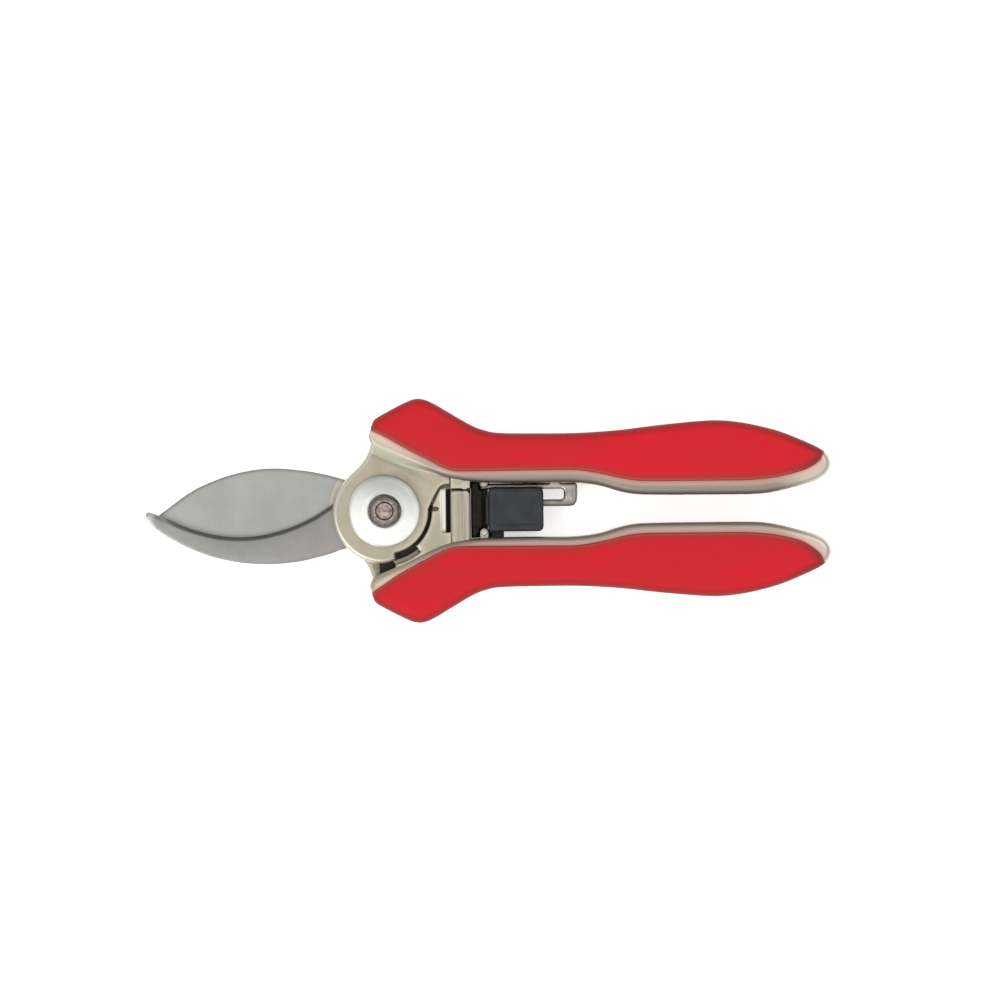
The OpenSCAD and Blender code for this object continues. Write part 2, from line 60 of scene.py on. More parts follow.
NODES = frame["nodes"]
UP, LO, SL = "upper_handle", "lower_handle", "lock_slider"
ZC = 6.5          # height of the plane where the jaws meet, mm
PI, PO = 2.5, 4.5  # inner and outer face of the pivot plates, from that plane
RIM, GRIP = 5.5, 6.5


# ------------------------------------------------------------------ 2-D tools
def A(p):
    return np.array(p, float)


def cr(P, n=8):
    """smooth open curve through all points of P"""
    P = A(P)
    Q = np.vstack([P[:1], P, P[-1:]])
    out = []
    for i in range(len(P) - 1):
        a, b, c, d = Q[i], Q[i + 1], Q[i + 2], Q[i + 3]
        for k in range(n):
            t = k / n
            out.append(0.5 * (2 * b + (c - a) * t + (2 * a - 5 * b + 4 * c - d) * t * t
                              + (3 * b - a - 3 * c + d) * t ** 3))
    out.append(P[-1])
    return A(out)


def dense(P, step=0.7):
    """adds points on straight stretches longer than step"""
    P = A(P)
    out = []
    for a, b in zip(P, np.roll(P, -1, 0)):
        k = max(1, int(math.ceil(np.linalg.norm(b - a) / step)))
        for i in range(k):
            out.append(a + (b - a) * i / k)
    return A(out)


def rounded(P, r, n=5):
    """closed polygon with its corners rounded; r is one radius or one per corner"""
    P = A(P)
    m = len(P)
    rr = [r] * m if np.isscalar(r) else r
    out = []
    for i in range(m):
        p, a, b = P[i], P[i - 1], P[(i + 1) % m]
        u, v = a - p, b - p
        lu, lv = np.linalg.norm(u), np.linalg.norm(v)
        u, v = u / lu, v / lv
        ang = math.acos(max(-1, min(1, float(u @ v))))
        if rr[i] <= 0 or ang > math.pi - 0.02:
            out.append(p)
            continue
        t = min(rr[i] / math.tan(ang / 2), 0.48 * lu, 0.48 * lv)
        p0, p1 = p + u * t, p + v * t
        for k in range(n + 1):
            s = k / n
            out.append((1 - s) ** 2 * p0 + 2 * s * (1 - s) * p + s * s * p1)
    return A(out)


def circle(c, r, n=96, a0=0.0):
    t = np.arange(n) / n * 2 * math.pi + a0
    return np.stack([c[0] + r * np.cos(t), c[1] + r * np.sin(t)], 1)


def arc(c, r, d0, d1, n=48):
    t = np.radians(np.linspace(d0, d1, n + 1))
    return np.stack([c[0] + r * np.cos(t), c[1] + r * np.sin(t)], 1)


def inside(P, L):
    x, y = P[:, 0][:, None], P[:, 1][:, None]
    a, b = L, np.roll(L, -1, 0)
    res = np.zeros(len(P), bool)
    for s in range(0, len(P), 4000):
        xx, yy = x[s:s + 4000], y[s:s + 4000]
        c = (a[:, 1] > yy) != (b[:, 1] > yy)
        dy = b[:, 1] - a[:, 1]
        dy = np.where(dy == 0, 1e-12, dy)
        xi = a[:, 0] + (yy - a[:, 1]) * (b[:, 0] - a[:, 0]) / dy
        res[s:s + 4000] = (np.sum(c & (xx < xi), 1) % 2) == 1
    return res


def segdist(P, a, b):
    """distance from points to segments, and the signed side of the nearest one (left is +)"""
    out, side = np.empty(len(P)), np.empty(len(P))
    ab = b - a
    den = np.maximum((ab ** 2).sum(1), 1e-18)
    for s in range(0, len(P), 1500):
        p = P[s:s + 1500, None, :]
        ap = p - a
        t = np.clip((ap * ab).sum(2) / den, 0, 1)
        q = ap - t[..., None] * ab
        d2 = (q ** 2).sum(2)
        k = d2.argmin(1)
        r = np.arange(len(k))
        out[s:s + 1500] = np.sqrt(d2[r, k])
        cross = ab[k, 0] * ap[r, k, 1] - ab[k, 1] * ap[r, k, 0]
        side[s:s + 1500] = np.sign(cross)
    return out, side


def ldist(P, L):
    return segdist(P, L[:-1], L[1:])[0]


def lside(P, L):
    d, s = segdist(P, L[:-1], L[1:])
    return d * s


def fil(d, r):
    """how far a rounded edge of radius r has dropped at distance d from it"""
    q = np.clip(r - d, 0, r)
    return r - np.sqrt(np.maximum(r * r - q * q, 0))


def smooth(t):
    t = np.clip(t, 0, 1)
    return t * t * (3 - 2 * t)


# ------------------------------------------------------------------ mesh tools
def flip(V):
    """the partner part: the same shape turned over about the X axis"""
    return V * A([1, -1, -1])


def crisp_walls(me):
    """tall upright walls don't share normals with the rounded edges above and below them"""
    nf, nl = len(me.polygons), len(me.loops)
    nrm, st_, tot = np.zeros(nf * 3), np.zeros(nf, int), np.zeros(nf, int)
    me.polygons.foreach_get("normal", nrm)
    me.polygons.foreach_get("loop_start", st_)
    me.polygons.foreach_get("loop_total", tot)
    vi, ei = np.zeros(nl, int), np.zeros(nl, int)
    me.loops.foreach_get("vertex_index", vi)
    me.loops.foreach_get("edge_index", ei)
    co = np.zeros(len(me.vertices) * 3)
    me.vertices.foreach_get("co", co)
    z = co[2::3][vi]
    tall = np.maximum.reduceat(z, st_) - np.minimum.reduceat(z, st_) > 0.0012
    wall = (np.abs(nrm[2::3]) < 0.05) & tall
    w = np.repeat(wall, tot)
    a = np.bincount(ei, w, len(me.edges)) > 0
    b = np.bincount(ei, ~w, len(me.edges)) > 0
    old = np.zeros(len(me.edges), bool)
    me.edges.foreach_get("use_edge_sharp", old)
    me.edges.foreach_set("use_edge_sharp", old | (a & b))


def make(name, V, F, body, attrs=None, ang=32, turned=False):
    V = A(V)
    if turned:
        V = flip(V)
    V = (V + A([0, 0, ZC])) * 0.001
    me = bpy.data.meshes.new(name)
    me.from_pydata(V.tolist(), [], F)
    if attrs:
        for k, w in attrs.items():
            at = me.attributes.new(k, "FLOAT", "POINT")
            at.data.foreach_set("value", np.asarray(w, np.float32))
    bm = bmesh.new()
    bm.from_mesh(me)
    bmesh.ops.remove_doubles(bm, verts=bm.verts, dist=2e-8)
    bmesh.ops.dissolve_degenerate(bm, edges=bm.edges, dist=1e-8)
    bmesh.ops.recalc_face_normals(bm, faces=bm.faces)
    bm.to_mesh(me)
    bm.free()
    for p in me.polygons:
        p.use_smooth = True
    me.set_sharp_from_angle(angle=math.radians(ang))
    crisp_walls(me)
    ob = bpy.data.objects.new(name, me)
    bpy.context.scene.collection.objects.link(ob)
    if body:
        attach(ob, body)
    return ob


def cdt(pts, edges):
    r = delaunay_2d_cdt([Vector(p) for p in pts], edges, [], 0, 1e-7, False)
    V = A([tuple(v) for v in r[0]])
    T = np.array([f for f in r[2] if len(f) == 3], int)
    a, b, c = V[T[:, 0]], V[T[:, 1]], V[T[:, 2]]
    ar = (b[:, 0] - a[:, 0]) * (c[:, 1] - a[:, 1]) - (b[:, 1] - a[:, 1]) * (c[:, 0] - a[:, 0])
    T[ar < 0] = T[ar < 0][:, ::-1]
    return V, T[np.abs(ar) > 1e-9]


def border(T):
    from collections import Counter
    E = {}
    for t in T:
        for i in range(3):
            E[(t[i], t[(i + 1) % 3])] = 1
    return [(a, b) for (a, b) in E if (b, a) not in E]


def relief(name, solids, holes, top, bot, body, rings=(0.08, 0.3, 0.6, 1.0), spacing=1.2, lines=(),
           attrs=None, turned=False, ang=32, raw=False):
    """closed solid over a flat region: top and bot give the heights from (points, distance to the edge)"""
    polys = [A(p) for p in solids] + [A(p) for p in holes]
    ns = len(solids)
    pts, edges = [], []
    for p in polys:
        k = len(pts)
        pts += p.tolist()
        edges += [(k + i, k + (i + 1) % len(p)) for i in range(len(p))]
    for L in lines:
        k = len(pts)
        L = A(L)
        pts += L.tolist()
        edges += [(k + i, k + i + 1) for i in range(len(L) - 1)]

    def keep(V, T):
        c = (V[T[:, 0]] + V[T[:, 1]] + V[T[:, 2]]) / 3
        ok = np.zeros(len(T), bool)
        for p in polys[:ns]:
            ok |= inside(c, p)
        for p in polys[ns:]:
            ok &= ~inside(c, p)
        return T[ok]
    V, T = cdt(pts, edges)
    T = keep(V, T)
    B = border(T)
    sa, sb = A([V[a] for a, b in B]), A([V[b] for a, b in B])
    # support points: rings inside the border, then a loose grid
    nrm = {}
    for a, b in B:
        d = V[b] - V[a]
        d = d / (np.linalg.norm(d) + 1e-12)
        n = A([-d[1], d[0]])
        for q in (a, b):
            nrm.setdefault(q, []).append(n)
    bi = sorted(nrm)
    bp = V[bi]
    bn = A([sum(nrm[q]) / (np.linalg.norm(sum(nrm[q])) + 1e-9) for q in bi])
    extra = []
    for r in rings:
        q = bp + bn * r
        d, _ = segdist(q, sa, sb)
        q = q[d > 0.93 * r]
        # thin out where a ring closes up
        if len(q):
            key = np.unique(np.round(q / (0.35 * max(r, 0.25))), axis=0, return_index=True)[1]
            q = q[np.sort(key)]
        extra.append(q)
    lo, hi = bp.min(0), bp.max(0)
    gx, gy = np.meshgrid(np.arange(lo[0], hi[0], spacing), np.arange(lo[1], hi[1], spacing))
    gx = gx + (np.arange(gx.shape[0])[:, None] % 2) * spacing / 2
    g = np.stack([gx.ravel(), gy.ravel()], 1)
    d, _ = segdist(g, sa, sb)
    g = g[d > (max(rings) if rings else 0) + 0.35 * spacing]
    extra.append(g)
    ex = np.vstack(extra)
    ok = np.zeros(len(ex), bool)
    for p in polys[:ns]:
        ok |= inside(ex, p)
    for p in polys[ns:]:
        ok &= ~inside(ex, p)
    ex = ex[ok]
    # second pass: only the true border and the wanted lines stay as fixed edges
    at_ = {q: i for i, q in enumerate(bi)}
    pts2 = bp.tolist()
    edges2 = [(at_[a], at_[b]) for a, b in B]
    for L in lines:
        k = len(pts2)
        L = A(L)
        pts2 += L.tolist()
        edges2 += [(k + i, k + i + 1) for i in range(len(L) - 1)]
    V, T = cdt(pts2 + ex.tolist(), edges2)
    T = keep(V, T)
    used = np.unique(T)
    idx = -np.ones(len(V), int)
    idx[used] = np.arange(len(used))
    V, T = V[used], idx[T]
    d, _ = segdist(V, sa, sb)
    zt, zb = top(V, d), bot(V, d)
    zt = np.maximum(zt, zb + 0.02)
    n = len(V)
    W = np.vstack([np.column_stack([V, zt]), np.column_stack([V, zb])])
    F = [tuple(t) for t in T.tolist()] + [(t[0] + n, t[2] + n, t[1] + n) for t in T.tolist()]
    F += [(a, a + n, b + n, b) for a, b in border(T)]
    at = {"edge_mm": np.concatenate([d, d])}
    if attrs:
        for k, f in attrs.items():
            w = f(V, d)
            at[k] = np.concatenate([w, w])
    if raw:
        return W, F, at
    return make(name, W, F, body, at, ang, turned)


def join(parts):
    """several closed shells as one list of vertices, faces and attributes"""
    W, F, at = [], [], {}
    keys = set()
    for p in parts:
        keys |= set(p[2])
    n = 0
    for w, f, a in parts:
        W.append(w)
        F += [tuple(i + n for i in q) for q in f]
        for k in keys:
            at.setdefault(k, []).append(a.get(k, np.zeros(len(w))))
        n += len(w)
    return np.vstack(W), F, {k: np.concatenate(v) for k, v in at.items()}


def lathe(prof, n=128, c=(0, 0)):
    """closed profile of (radius, z) turned about the pivot axis"""
    prof = A(prof)
    m = len(prof)
    t = np.arange(n) / n * 2 * math.pi
    W = np.stack([c[0] + prof[:, 0][None, :] * np.cos(t)[:, None],
                  c[1] + prof[:, 0][None, :] * np.sin(t)[:, None],
                  np.repeat(prof[:, 1][None, :], n, 0)], 2).reshape(-1, 3)
    F = []
    for i in range(n):
        j = (i + 1) % n
        for k in range(m):
            l = (k + 1) % m
            F.append((i * m + k, j * m + k, j * m + l, i * m + l))
    return W, F, {}


def tube(path, r, n=16):
    P = A(path)
    T = np.gradient(P, axis=0)
    T /= np.linalg.norm(T, axis=1)[:, None]
    u = np.cross(T[0], [0, 0, 1.0])
    u /= np.linalg.norm(u)
    W = []
    for i in range(len(P)):
        u = u - T[i] * (u @ T[i])
        u /= np.linalg.norm(u)
        v = np.cross(T[i], u)
        e = 1.0
        for k in range(n):
            a = 2 * math.pi * k / n
            W.append(P[i] + r * e * (math.cos(a) * u + math.sin(a) * v))
    F = []
    for i in range(len(P) - 1):
        for k in range(n):
            l = (k + 1) % n
            F.append((i * n + k, i * n + l, (i + 1) * n + l, (i + 1) * n + k))
    F.append(tuple(range(n))[::-1])
    F.append(tuple((len(P) - 1) * n + k for k in range(n)))
    return A(W), F, {}


# ------------------------------------------------------------------ materials
def lin(c):
    return tuple(((v / 255) / 12.92 if v / 255 <= 0.04045 else ((v / 255 + 0.055) / 1.055) ** 2.4) for v in c) + (1.0,)


class Mat:
    def __init__(self, name):
        self.m = bpy.data.materials.new(name)
        self.m.use_nodes = True
        self.t = self.m.node_tree
        self.b = self.t.nodes["Principled BSDF"]
        self.o = self.t.nodes["Material Output"]
        self.x = -300

    def n(self, kind, **kw):
        nd = self.t.nodes.new(kind)
        for k, v in kw.items():
            if k == "ins":
                for i, w in v.items():
                    nd.inputs[i].default_value = w
            else:
                setattr(nd, k, v)
        return nd

    def l(self, a, b):
        self.t.links.new(a, b)

    def coord(self, scale=(1, 1, 1), rot=(0, 0, 0)):
        tc = self.n("ShaderNodeTexCoord")
        mp = self.n("ShaderNodeMapping")
        mp.inputs["Scale"].default_value = scale
        mp.inputs["Rotation"].default_value = rot
        self.l(tc.outputs["Object"], mp.inputs["Vector"])
        return mp.outputs["Vector"]

    def noise(self, vec, scale, detail=4, rough=0.55, dist=0.0):
        nd = self.n("ShaderNodeTexNoise")
        nd.inputs["Scale"].default_value = scale
        nd.inputs["Detail"].default_value = detail
        nd.inputs["Roughness"].default_value = rough
        nd.inputs["Distortion"].default_value = dist
        self.l(vec, nd.inputs["Vector"])
        return nd.outputs["Fac"]

    def ramp(self, fac, stops):
        nd = self.n("ShaderNodeValToRGB")
        e = nd.color_ramp.elements
        while len(e) < len(stops):
            e.new(0.5)
        for s, (p, c) in zip(e, stops):
            s.position = p
            s.color = c if len(c) == 4 else tuple(c) + (1,)
        self.l(fac, nd.inputs["Fac"])
        return nd.outputs["Color"]

    def maprange(self, v, a, b, c, d):
        nd = self.n("ShaderNodeMapRange")
        nd.interpolation_type = "SMOOTHSTEP"
        for k, w in zip(("From Min", "From Max", "To Min", "To Max"), (a, b, c, d)):
            nd.inputs[k].default_value = w
        self.l(v, nd.inputs["Value"])
        return nd.outputs["Result"]

    def mix(self, fac, a, b, mode="MIX"):
        nd = self.n("ShaderNodeMix")
        nd.data_type = "RGBA"
        nd.blend_type = mode
        if isinstance(fac, float):
            nd.inputs["Factor"].default_value = fac
        else:
            self.l(fac, nd.inputs["Factor"])
        for s, v in ((6, a), (7, b)):
            if isinstance(v, tuple):
                nd.inputs[s].default_value = v
            else:
                self.l(v, nd.inputs[s])
        return nd.outputs[2]

    def math(self, op, a, b=None):
        nd = self.n("ShaderNodeMath", operation=op)
        for i, v in ((0, a), (1, b)):
            if v is None:
                continue
            if isinstance(v, (int, float)):
                nd.inputs[i].default_value = v
            else:
                self.l(v, nd.inputs[i])
        return nd.outputs[0]

    def ao(self, dist=0.0025, samples=6):
        nd = self.n("ShaderNodeAmbientOcclusion", samples=samples)
        nd.inputs["Distance"].default_value = dist
        return nd.outputs["AO"]

    def attr(self, name):
        nd = self.n("ShaderNodeAttribute", attribute_name=name)
        return nd.outputs["Fac"]

    def xyz(self):
        tc = self.n("ShaderNodeTexCoord")
        sp = self.n("ShaderNodeSeparateXYZ")
        self.l(tc.outputs["Object"], sp.inputs[0])
        return sp.outputs[0], sp.outputs[1], sp.outputs[2]

    def bump(self, h, strength=0.2, dist=0.0001, prev=None):
        nd = self.n("ShaderNodeBump")
        nd.inputs["Strength"].default_value = strength
        nd.inputs["Distance"].default_value = dist
        self.l(h, nd.inputs["Height"])
        if prev:
            self.l(prev, nd.inputs["Normal"])
        return nd.outputs["Normal"]

    def done(self, color=None, metallic=None, rough=None, normal=None, spec=None, aniso=None, coat=None):
        I = self.b.inputs
        for key, v in (("Base Color", color), ("Metallic", metallic), ("Roughness", rough), ("Normal", normal),
                       ("Specular IOR Level", spec), ("Anisotropic", aniso), ("Coat Weight", coat)):
            if v is None:
                continue
            if isinstance(v, (int, float, tuple)):
                I[key].default_value = v
            else:
                self.l(v, I[key])
        return self.m


# ------------------------------------------------------------------ outlines, mm, about the pivot
RI = cr([(-3.9, 18.6), (-2.9, 16.6), (0, 15.1), (3.75, 13.5), (7.5, 11.7), (11.25, 9.85),
         (15, 8.3), (19, 7.45), (23.5, 6.95), (30, 6.75), (38, 6.7), (45, 6.75), (49.5, 6.5), (53.75, 5.85),
         (58.5, 4.45), (62, 3.75), (66, 3.5), (75, 3.42), (85, 3.4), (92, 3.45), (96, 3.8), (100, 4.6),
         (103.75, 5.55), (107, 6.5), (109.2, 7.6), (110.7, 9.1), (111.25, 10.9), (110.8, 12.6), (109.7, 14.1)], 8)
SE = cr([(-3.3, 20.3), (-0.75, 19.1), (0.75, 18.3), (3.75, 16.6), (6.75, 14.9), (11.25, 12.6),
         (14.5, 10.9), (17, 10.05), (20, 9.85), (30, 9.9), (40, 9.95), (47, 9.95), (50.5, 9.6), (55, 8.75),
         (60, 7.6), (64, 7.1), (70, 7.0), (80, 7.0), (90, 7.05), (95, 7.4), (99, 8.0), (103.75, 9.2),
         (106.5, 10.4), (108.4, 11.8), (109.3, 13.4)], 8)
GO = cr([(-3.3, 20.9), (-2.5, 22.7), (-0.75, 23.9), (2.25, 25.5), (5.25, 27.0), (7.6, 27.85), (9.9, 27.75),
         (12.75, 26.5), (15.75, 24.7), (18.75, 22.9), (21.75, 21.2), (24.75, 20.0), (28.75, 19.25), (38.75, 19.05),
         (48.75, 19.1), (58.75, 19.75), (68.75, 20.9), (78.75, 21.8), (84, 21.9), (88.75, 21.4), (93.75, 20.4),
         (98.75, 19.0), (103.75, 17.0), (107.5, 15.3), (109.4, 14.2)], 8)
HI = cr([(-59.6, 0.0), (-59.0, 0.2), (-57.9, -0.2), (-56.25, -1.1), (-54.25, -2.05), (-50.25, -3.85),
         (-46.25, -5.2), (-42.25, -6.15), (-38.25, -6.6), (-34.25, -6.6), (-30.25, -6.15), (-26.25, -5.2),
         (-22.25, -3.85), (-18.25, -2.0), (-16.25, -0.8), (-14.25, 0.5), (-12, 2.2), (-9, 4.2)], 8)
HO = cr([(-59.8, -0.4), (-59.4, -1.6), (-58.25, -3.0), (-56.25, -4.6), (-54.25, -5.95), (-50.25, -8.2),
         (-46.25, -9.95), (-42.25, -11.3), (-38.25, -12.2), (-34.25, -12.8), (-28.25, -13.05), (-22.25, -12.55),
         (-18.25, -11.75), (-14.25, -10.75), (-10.25, -9.4), (-6, -8.6)], 8)
BB = cr([(-56.95, -0.95), (-56.25, -0.3), (-54.25, 1.1), (-52.25, 2.6), (-50.25, 4.05), (-48.25, 5.3),
         (-46.25, 6.4), (-42.25, 8.1), (-38.25, 9.4), (-34.25, 10.3), (-30.25, 10.8), (-26.25, 10.85),
         (-22.25, 10.5), (-18.25, 9.95), (-14.25, 9.1), (-10.25, 8.0), (-6, 7.2)], 8)
BE = cr([(-57.0, -1.3), (-56.25, -2.05), (-54.25, -3.4), (-52.25, -4.5), (-50.25, -5.4), (-48.25, -6.2),
         (-46.25, -6.9), (-42.25, -7.9), (-38.25, -8.4), (-34.25, -8.4), (-30.25, -7.9), (-26.25, -7.0),
         (-22.25, -5.7), (-18.25, -4.4), (-14.25, -3.4), (-10.25, -3.05), (-6, -2.9)], 8)
low_fade = np.clip((SE[:, 0] + 3.3) / 6, 0, 1) * np.clip((109.25 - SE[:, 0]) / 6, 0, 1)
SEL = SE - np.stack([0 * low_fade, 0.9 * low_fade], 1)      # the lower grip reaches nearer to the rim
TANG = A([(-4.5, 8.5), (0.6, 13.4), (1.0, 20.6), (3.4, 22.2), (9.4, 22.2), (11.0, 20.2), (11.2, 12.0), (10, 3)])
TANG_B = A([(-4.5, 8.5), (-1.5, 13.2), (-1.3, 20.6), (3.4, 22.2), (9.4, 22.2), (11.0, 20.2), (11.2, 12.0), (10, 3)])
MIR = A([1, -1])


def slot_poly(r, w, d0, d1):
    p = arc((0, 0), r + w, d0, d1, 16)
    c1 = r * A([math.cos(math.radians(d1)), math.sin(math.radians(d1))])
    e1 = arc(c1, w, d1, d1 + 180, 10)[1:-1]
    q = arc((0, 0), r - w, d1, d0, 16)
    c0 = r * A([math.cos(math.radians(d0)), math.sin(math.radians(d0))])
    e0 = arc(c0, w, d0 + 180, d0 + 360, 10)[1:-1]
    return np.vstack([p, e1, q, e0])


# ------------------------------------------------------------------ handle frames
PLATE = np.vstack([
    [(-1.2, 17.4)],
    cr([(-3.1, 16.9), (-3.55, 15.9), (-4.2, 14.3), (-5.2, 12.6), (-6.4, 11.15), (-7.7, 9.9), (-9.1, 8.55), (-10.5, 6.8), (-11.4, 5.3)], 6),
    [(0, -2), (10.95, 0.45)],
    cr([(11.05, 0.75), (11.4, 1.5), (12.1, 3.0), (12.85, 4.4), (13.55, 5.6), (14.35, 6.25), (15.4, 6.55), (16.3, 6.6)], 5),
    [(16.3, 9), (11.25, 11.4), (7.5, 13.2), (3, 15.4)]])


def polar(P):
    P = A(P)
    return np.stack([P[:, 1] * np.cos(np.radians(P[:, 0])), P[:, 1] * np.sin(np.radians(P[:, 0]))], 1)


# the boss: small beside the partner's web, a step that stops the web, then a wider lobe
BR = 10.9
BOSS = np.vstack([polar([(a, BR) for a in np.linspace(9, -76.2, 50)]), polar([(-76.6, BR + 0.12), (-77.1, BR + 1.3)]),
                  polar(cr([(-77.6, BR + 1.45), (-84, BR + 1.85), (-93, BR + 2.15), (-110, BR + 2.3), (-135, BR + 2.3), (-160, BR + 2.25),
                            (-180, BR + 2.15), (-198, BR + 1.9), (-212, BR + 1.5)], 8))])
BOSS_LOW = np.vstack([BOSS[:51], polar(cr([(-76.7, BR + 0.5), (-77.6, BR + 1.2), (-84, BR + 1.4), (-93, BR + 1.4), (-110, BR + 1.1), (-135, BR + 0.9),
                                           (-160, BR + 0.9), (-180, BR + 0.9), (-198, BR + 1.1), (-212, BR + 1.1)], 8))])
WEBCUT = np.vstack([[(0, 0)], arc((0, 0), BR + 0.8, -30, 48.5, 50), arc((0, 0), BR + 2.6, 48.9, 130, 50)])
NB = 1.75     # width of the rounded inner band of the rim


def frame_parts(ear_y, SE, closed):
    BOSS_ = BOSS if closed else BOSS_LOW
    RIMP = np.vstack([RI, SE[::-1]])
    head = RI[RI[:, 0] < 17.5][:60]
    t = np.gradient(head, axis=0)
    t /= np.linalg.norm(t, axis=1)[:, None]
    nn = np.stack([-t[:, 1], t[:, 0]], 1)
    lines = [head + nn * q for q in (0.0, 0.12, 0.3, 0.6, 1.0, 1.4, 1.75)]
    lines = [L[(L[:, 0] > -2.2)] for L in lines]
    for q in (-0.3, -0.6, -0.9, -1.2, -1.5, -1.8, -2.1):
        L = head + nn * q
        lines.append(L[(L[:, 0] > -2.2 + 0.45 * q) & (L[:, 0] < 14 + q * 1.5)])

    def zones(V):
        s = lside(V, RI)
        pl = inside(V, PLATE) | inside(V, BOSS_) | (s < 0)
        return s, pl

    def rimz(V, d, s):
        return np.where(s > -1e-4, RIM - fil(np.maximum(s, 0), NB) - fil(d, 0.14), -9)

    def slope(V, s):
        lo = -2.1 + 2.1 * smooth((V[:, 0] - 2) / 13)
        return smooth((s - lo) / (1.0 - lo)), 1 - smooth((V[:, 0] - 9) / 7), lo

    def ramp_mask(V, d):
        s, pl = zones(V)
        g, w, lo = slope(V, s)
        return smooth(g / 0.12) * (1 - smooth((s - 0.3) / 0.5)) * smooth(w / 0.6)

    def top(V, d):
        s, pl = zones(V)
        r = 1.0 - 0.6 * smooth((V[:, 0] - 1) / 7)
        pz = np.where(pl | (s < 0), PO - fil(d, r), -9)
        # at the head the rim runs down to the plate in a long soft slope
        g, w, lo = slope(V, s)
        ramp = PO + (RIM - PO) * g - fil(d, r) * (1 - g) - fil(d, 0.14) * g
        base = np.maximum(rimz(V, d, s), pz)
        return np.where((s > lo) & (w > 0) & (base > -5), base * (1 - w) + ramp * w, base)

    def bot(V, d):
        s, pl = zones(V)
        plate = (pl & (s < 0.06)) | (s < -1e-3)
        return np.where(plate, PI, -rimz(V, d, s))

    def rim_mask(V, d):
        s, pl = zones(V)
        t = s / (np.maximum(s, 0) + ldist(V, SE) + 1e-6)
        hd = 1 - smooth((V[:, 0] - 2) / 14)
        return smooth((t - (0.44 - 0.14 * hd if closed else 0.42 + 0.1 * hd)) / 0.3) * (s > 0)

    def seam_mask(V, d):
        s, pl = zones(V)
        return np.where(s > 0, ldist(V, SE), 9.0)

    def band_mask(V, d):
        s, pl = zones(V)
        return smooth((s + 0.15) / 0.3)
    parts = [relief("a", [RIMP, PLATE, BOSS_], [circle((0, 0), 4.55, 72), slot_poly(7.2, 1.0, 92, 120)], top, bot, None,
                    rings=(0.06, 0.2, 0.42, 0.7, 1.0, 1.35, 1.75), spacing=1.3, lines=lines, attrs={"rim": rim_mask, "band": band_mask, "seam_mm": seam_mask, "ramp": ramp_mask}, raw=True)]
    parts[0][2]["step_mm"] = np.tile(-lside(parts[0][0][:len(parts[0][0]) // 2, :2], RI), 2)

    # shoulder behind the curved gap: it rides low, under the partner's boss
    sh = np.vstack([arc((0, 0), 12.35, 46, 82, 24), arc((0, 0), 15.2, 76, 60, 6), [(9.2, 12.2)]])
    parts.append(relief("s", [dense(sh, 0.8)], [], lambda V, d: -0.3 - fil(d, 0.2), lambda V, d: -2.44 + fil(d, 0.35), None,
                        rings=(0.05, 0.14, 0.3), spacing=0.9, raw=True, attrs={"pit": lambda V, d: np.full(len(V), 0.5)}))

    # the plate on the other side: web and tongue
    pb = A([(2.0, 17.2), (2.4, 15.2), (2.7, 13.2), (8, 4), (11.6, 0), (13.3, -0.1), (13.3, -0.8), (11.8, -1.0), (12.2, -2.0),
            (13.1, -4.0), (13.9, -5.4), (14.9, -5.85), (15.25, -5.6), (15.25, 5.4), (16.6, 5.4), (16.6, 9.2),
            (11.25, 12.0), (7.5, 13.9)])
    pb = rounded(pb, [0, 0, 0, 0, 0, 0.25, 0.25, 0.3, 0.3, 0, 0.5, 0.4, 0.3, 0.3, 0, 0, 0, 0])

    def botb(V, d):
        e = np.abs(V[:, 0] - 15.25)
        near = (V[:, 0] < 15.26) & (V[:, 1] < 5.5) & (V[:, 1] > -5.6)
        f = np.where(near & (V[:, 0] > 13.6), np.clip((1.35 - e) / 1.35, 0, 1) * 0.75 * smooth((1.35 - e) / 0.3 + 0.2), 0)
        return -PO + np.maximum(fil(d, 0.4), f)
    parts.append(relief("b", [dense(pb, 0.8)], [WEBCUT], lambda V, d: np.full(len(V), -PI), botb, None,
                        rings=(0.05, 0.15, 0.28, 0.42, 0.8, 1.2), spacing=0.8,
                        lines=[[(13.92, -5.0), (13.92, 5.2)], [(14.2, -5.3), (14.2, 5.2)]], raw=True,
                        attrs={"bar": lambda V, d: smooth((V[:, 0] - 13.7) / 0.25) * smooth((15.2 - V[:, 0]) / 0.2)
                               * smooth((5.3 - V[:, 1]) / 0.5) * smooth((V[:, 1] + 5.3) / 0.5)}))
    # stop block
    bl = rounded([(16.35, -5), (20.7, -5), (21.4, -4), (21.4, 8.7), (16.35, 9.2)], [0.4, 0.5, 0.5, 0, 0])
    parts.append(relief("c", [dense(bl, 0.8)], [], lambda V, d: np.full(len(V), -0.15),
                        lambda V, d: -PO + 0.04 + fil(d, 0.4) + 0.34 * ((V[:, 0] - 18.9) / 2.5) ** 2, None,
                        rings=(0.05, 0.15, 0.28, 0.42), spacing=0.7, raw=True,
                        attrs={"block": lambda V, d: np.ones(len(V))}))
    # pad over the partner's block
    pd = rounded([(16.4, 5.45), (21.35, 5.45), (21.35, 8.4), (16.4, 9.2)], [0.35, 0.35, 0, 0])
    parts.append(relief("d", [dense(pd, 0.7)], [], lambda V, d: PO - 0.02 - fil(d, 0.3), lambda V, d: np.full(len(V), -0.3), None,
                        rings=(0.05, 0.14, 0.3), spacing=0.7, raw=True))
    if closed:
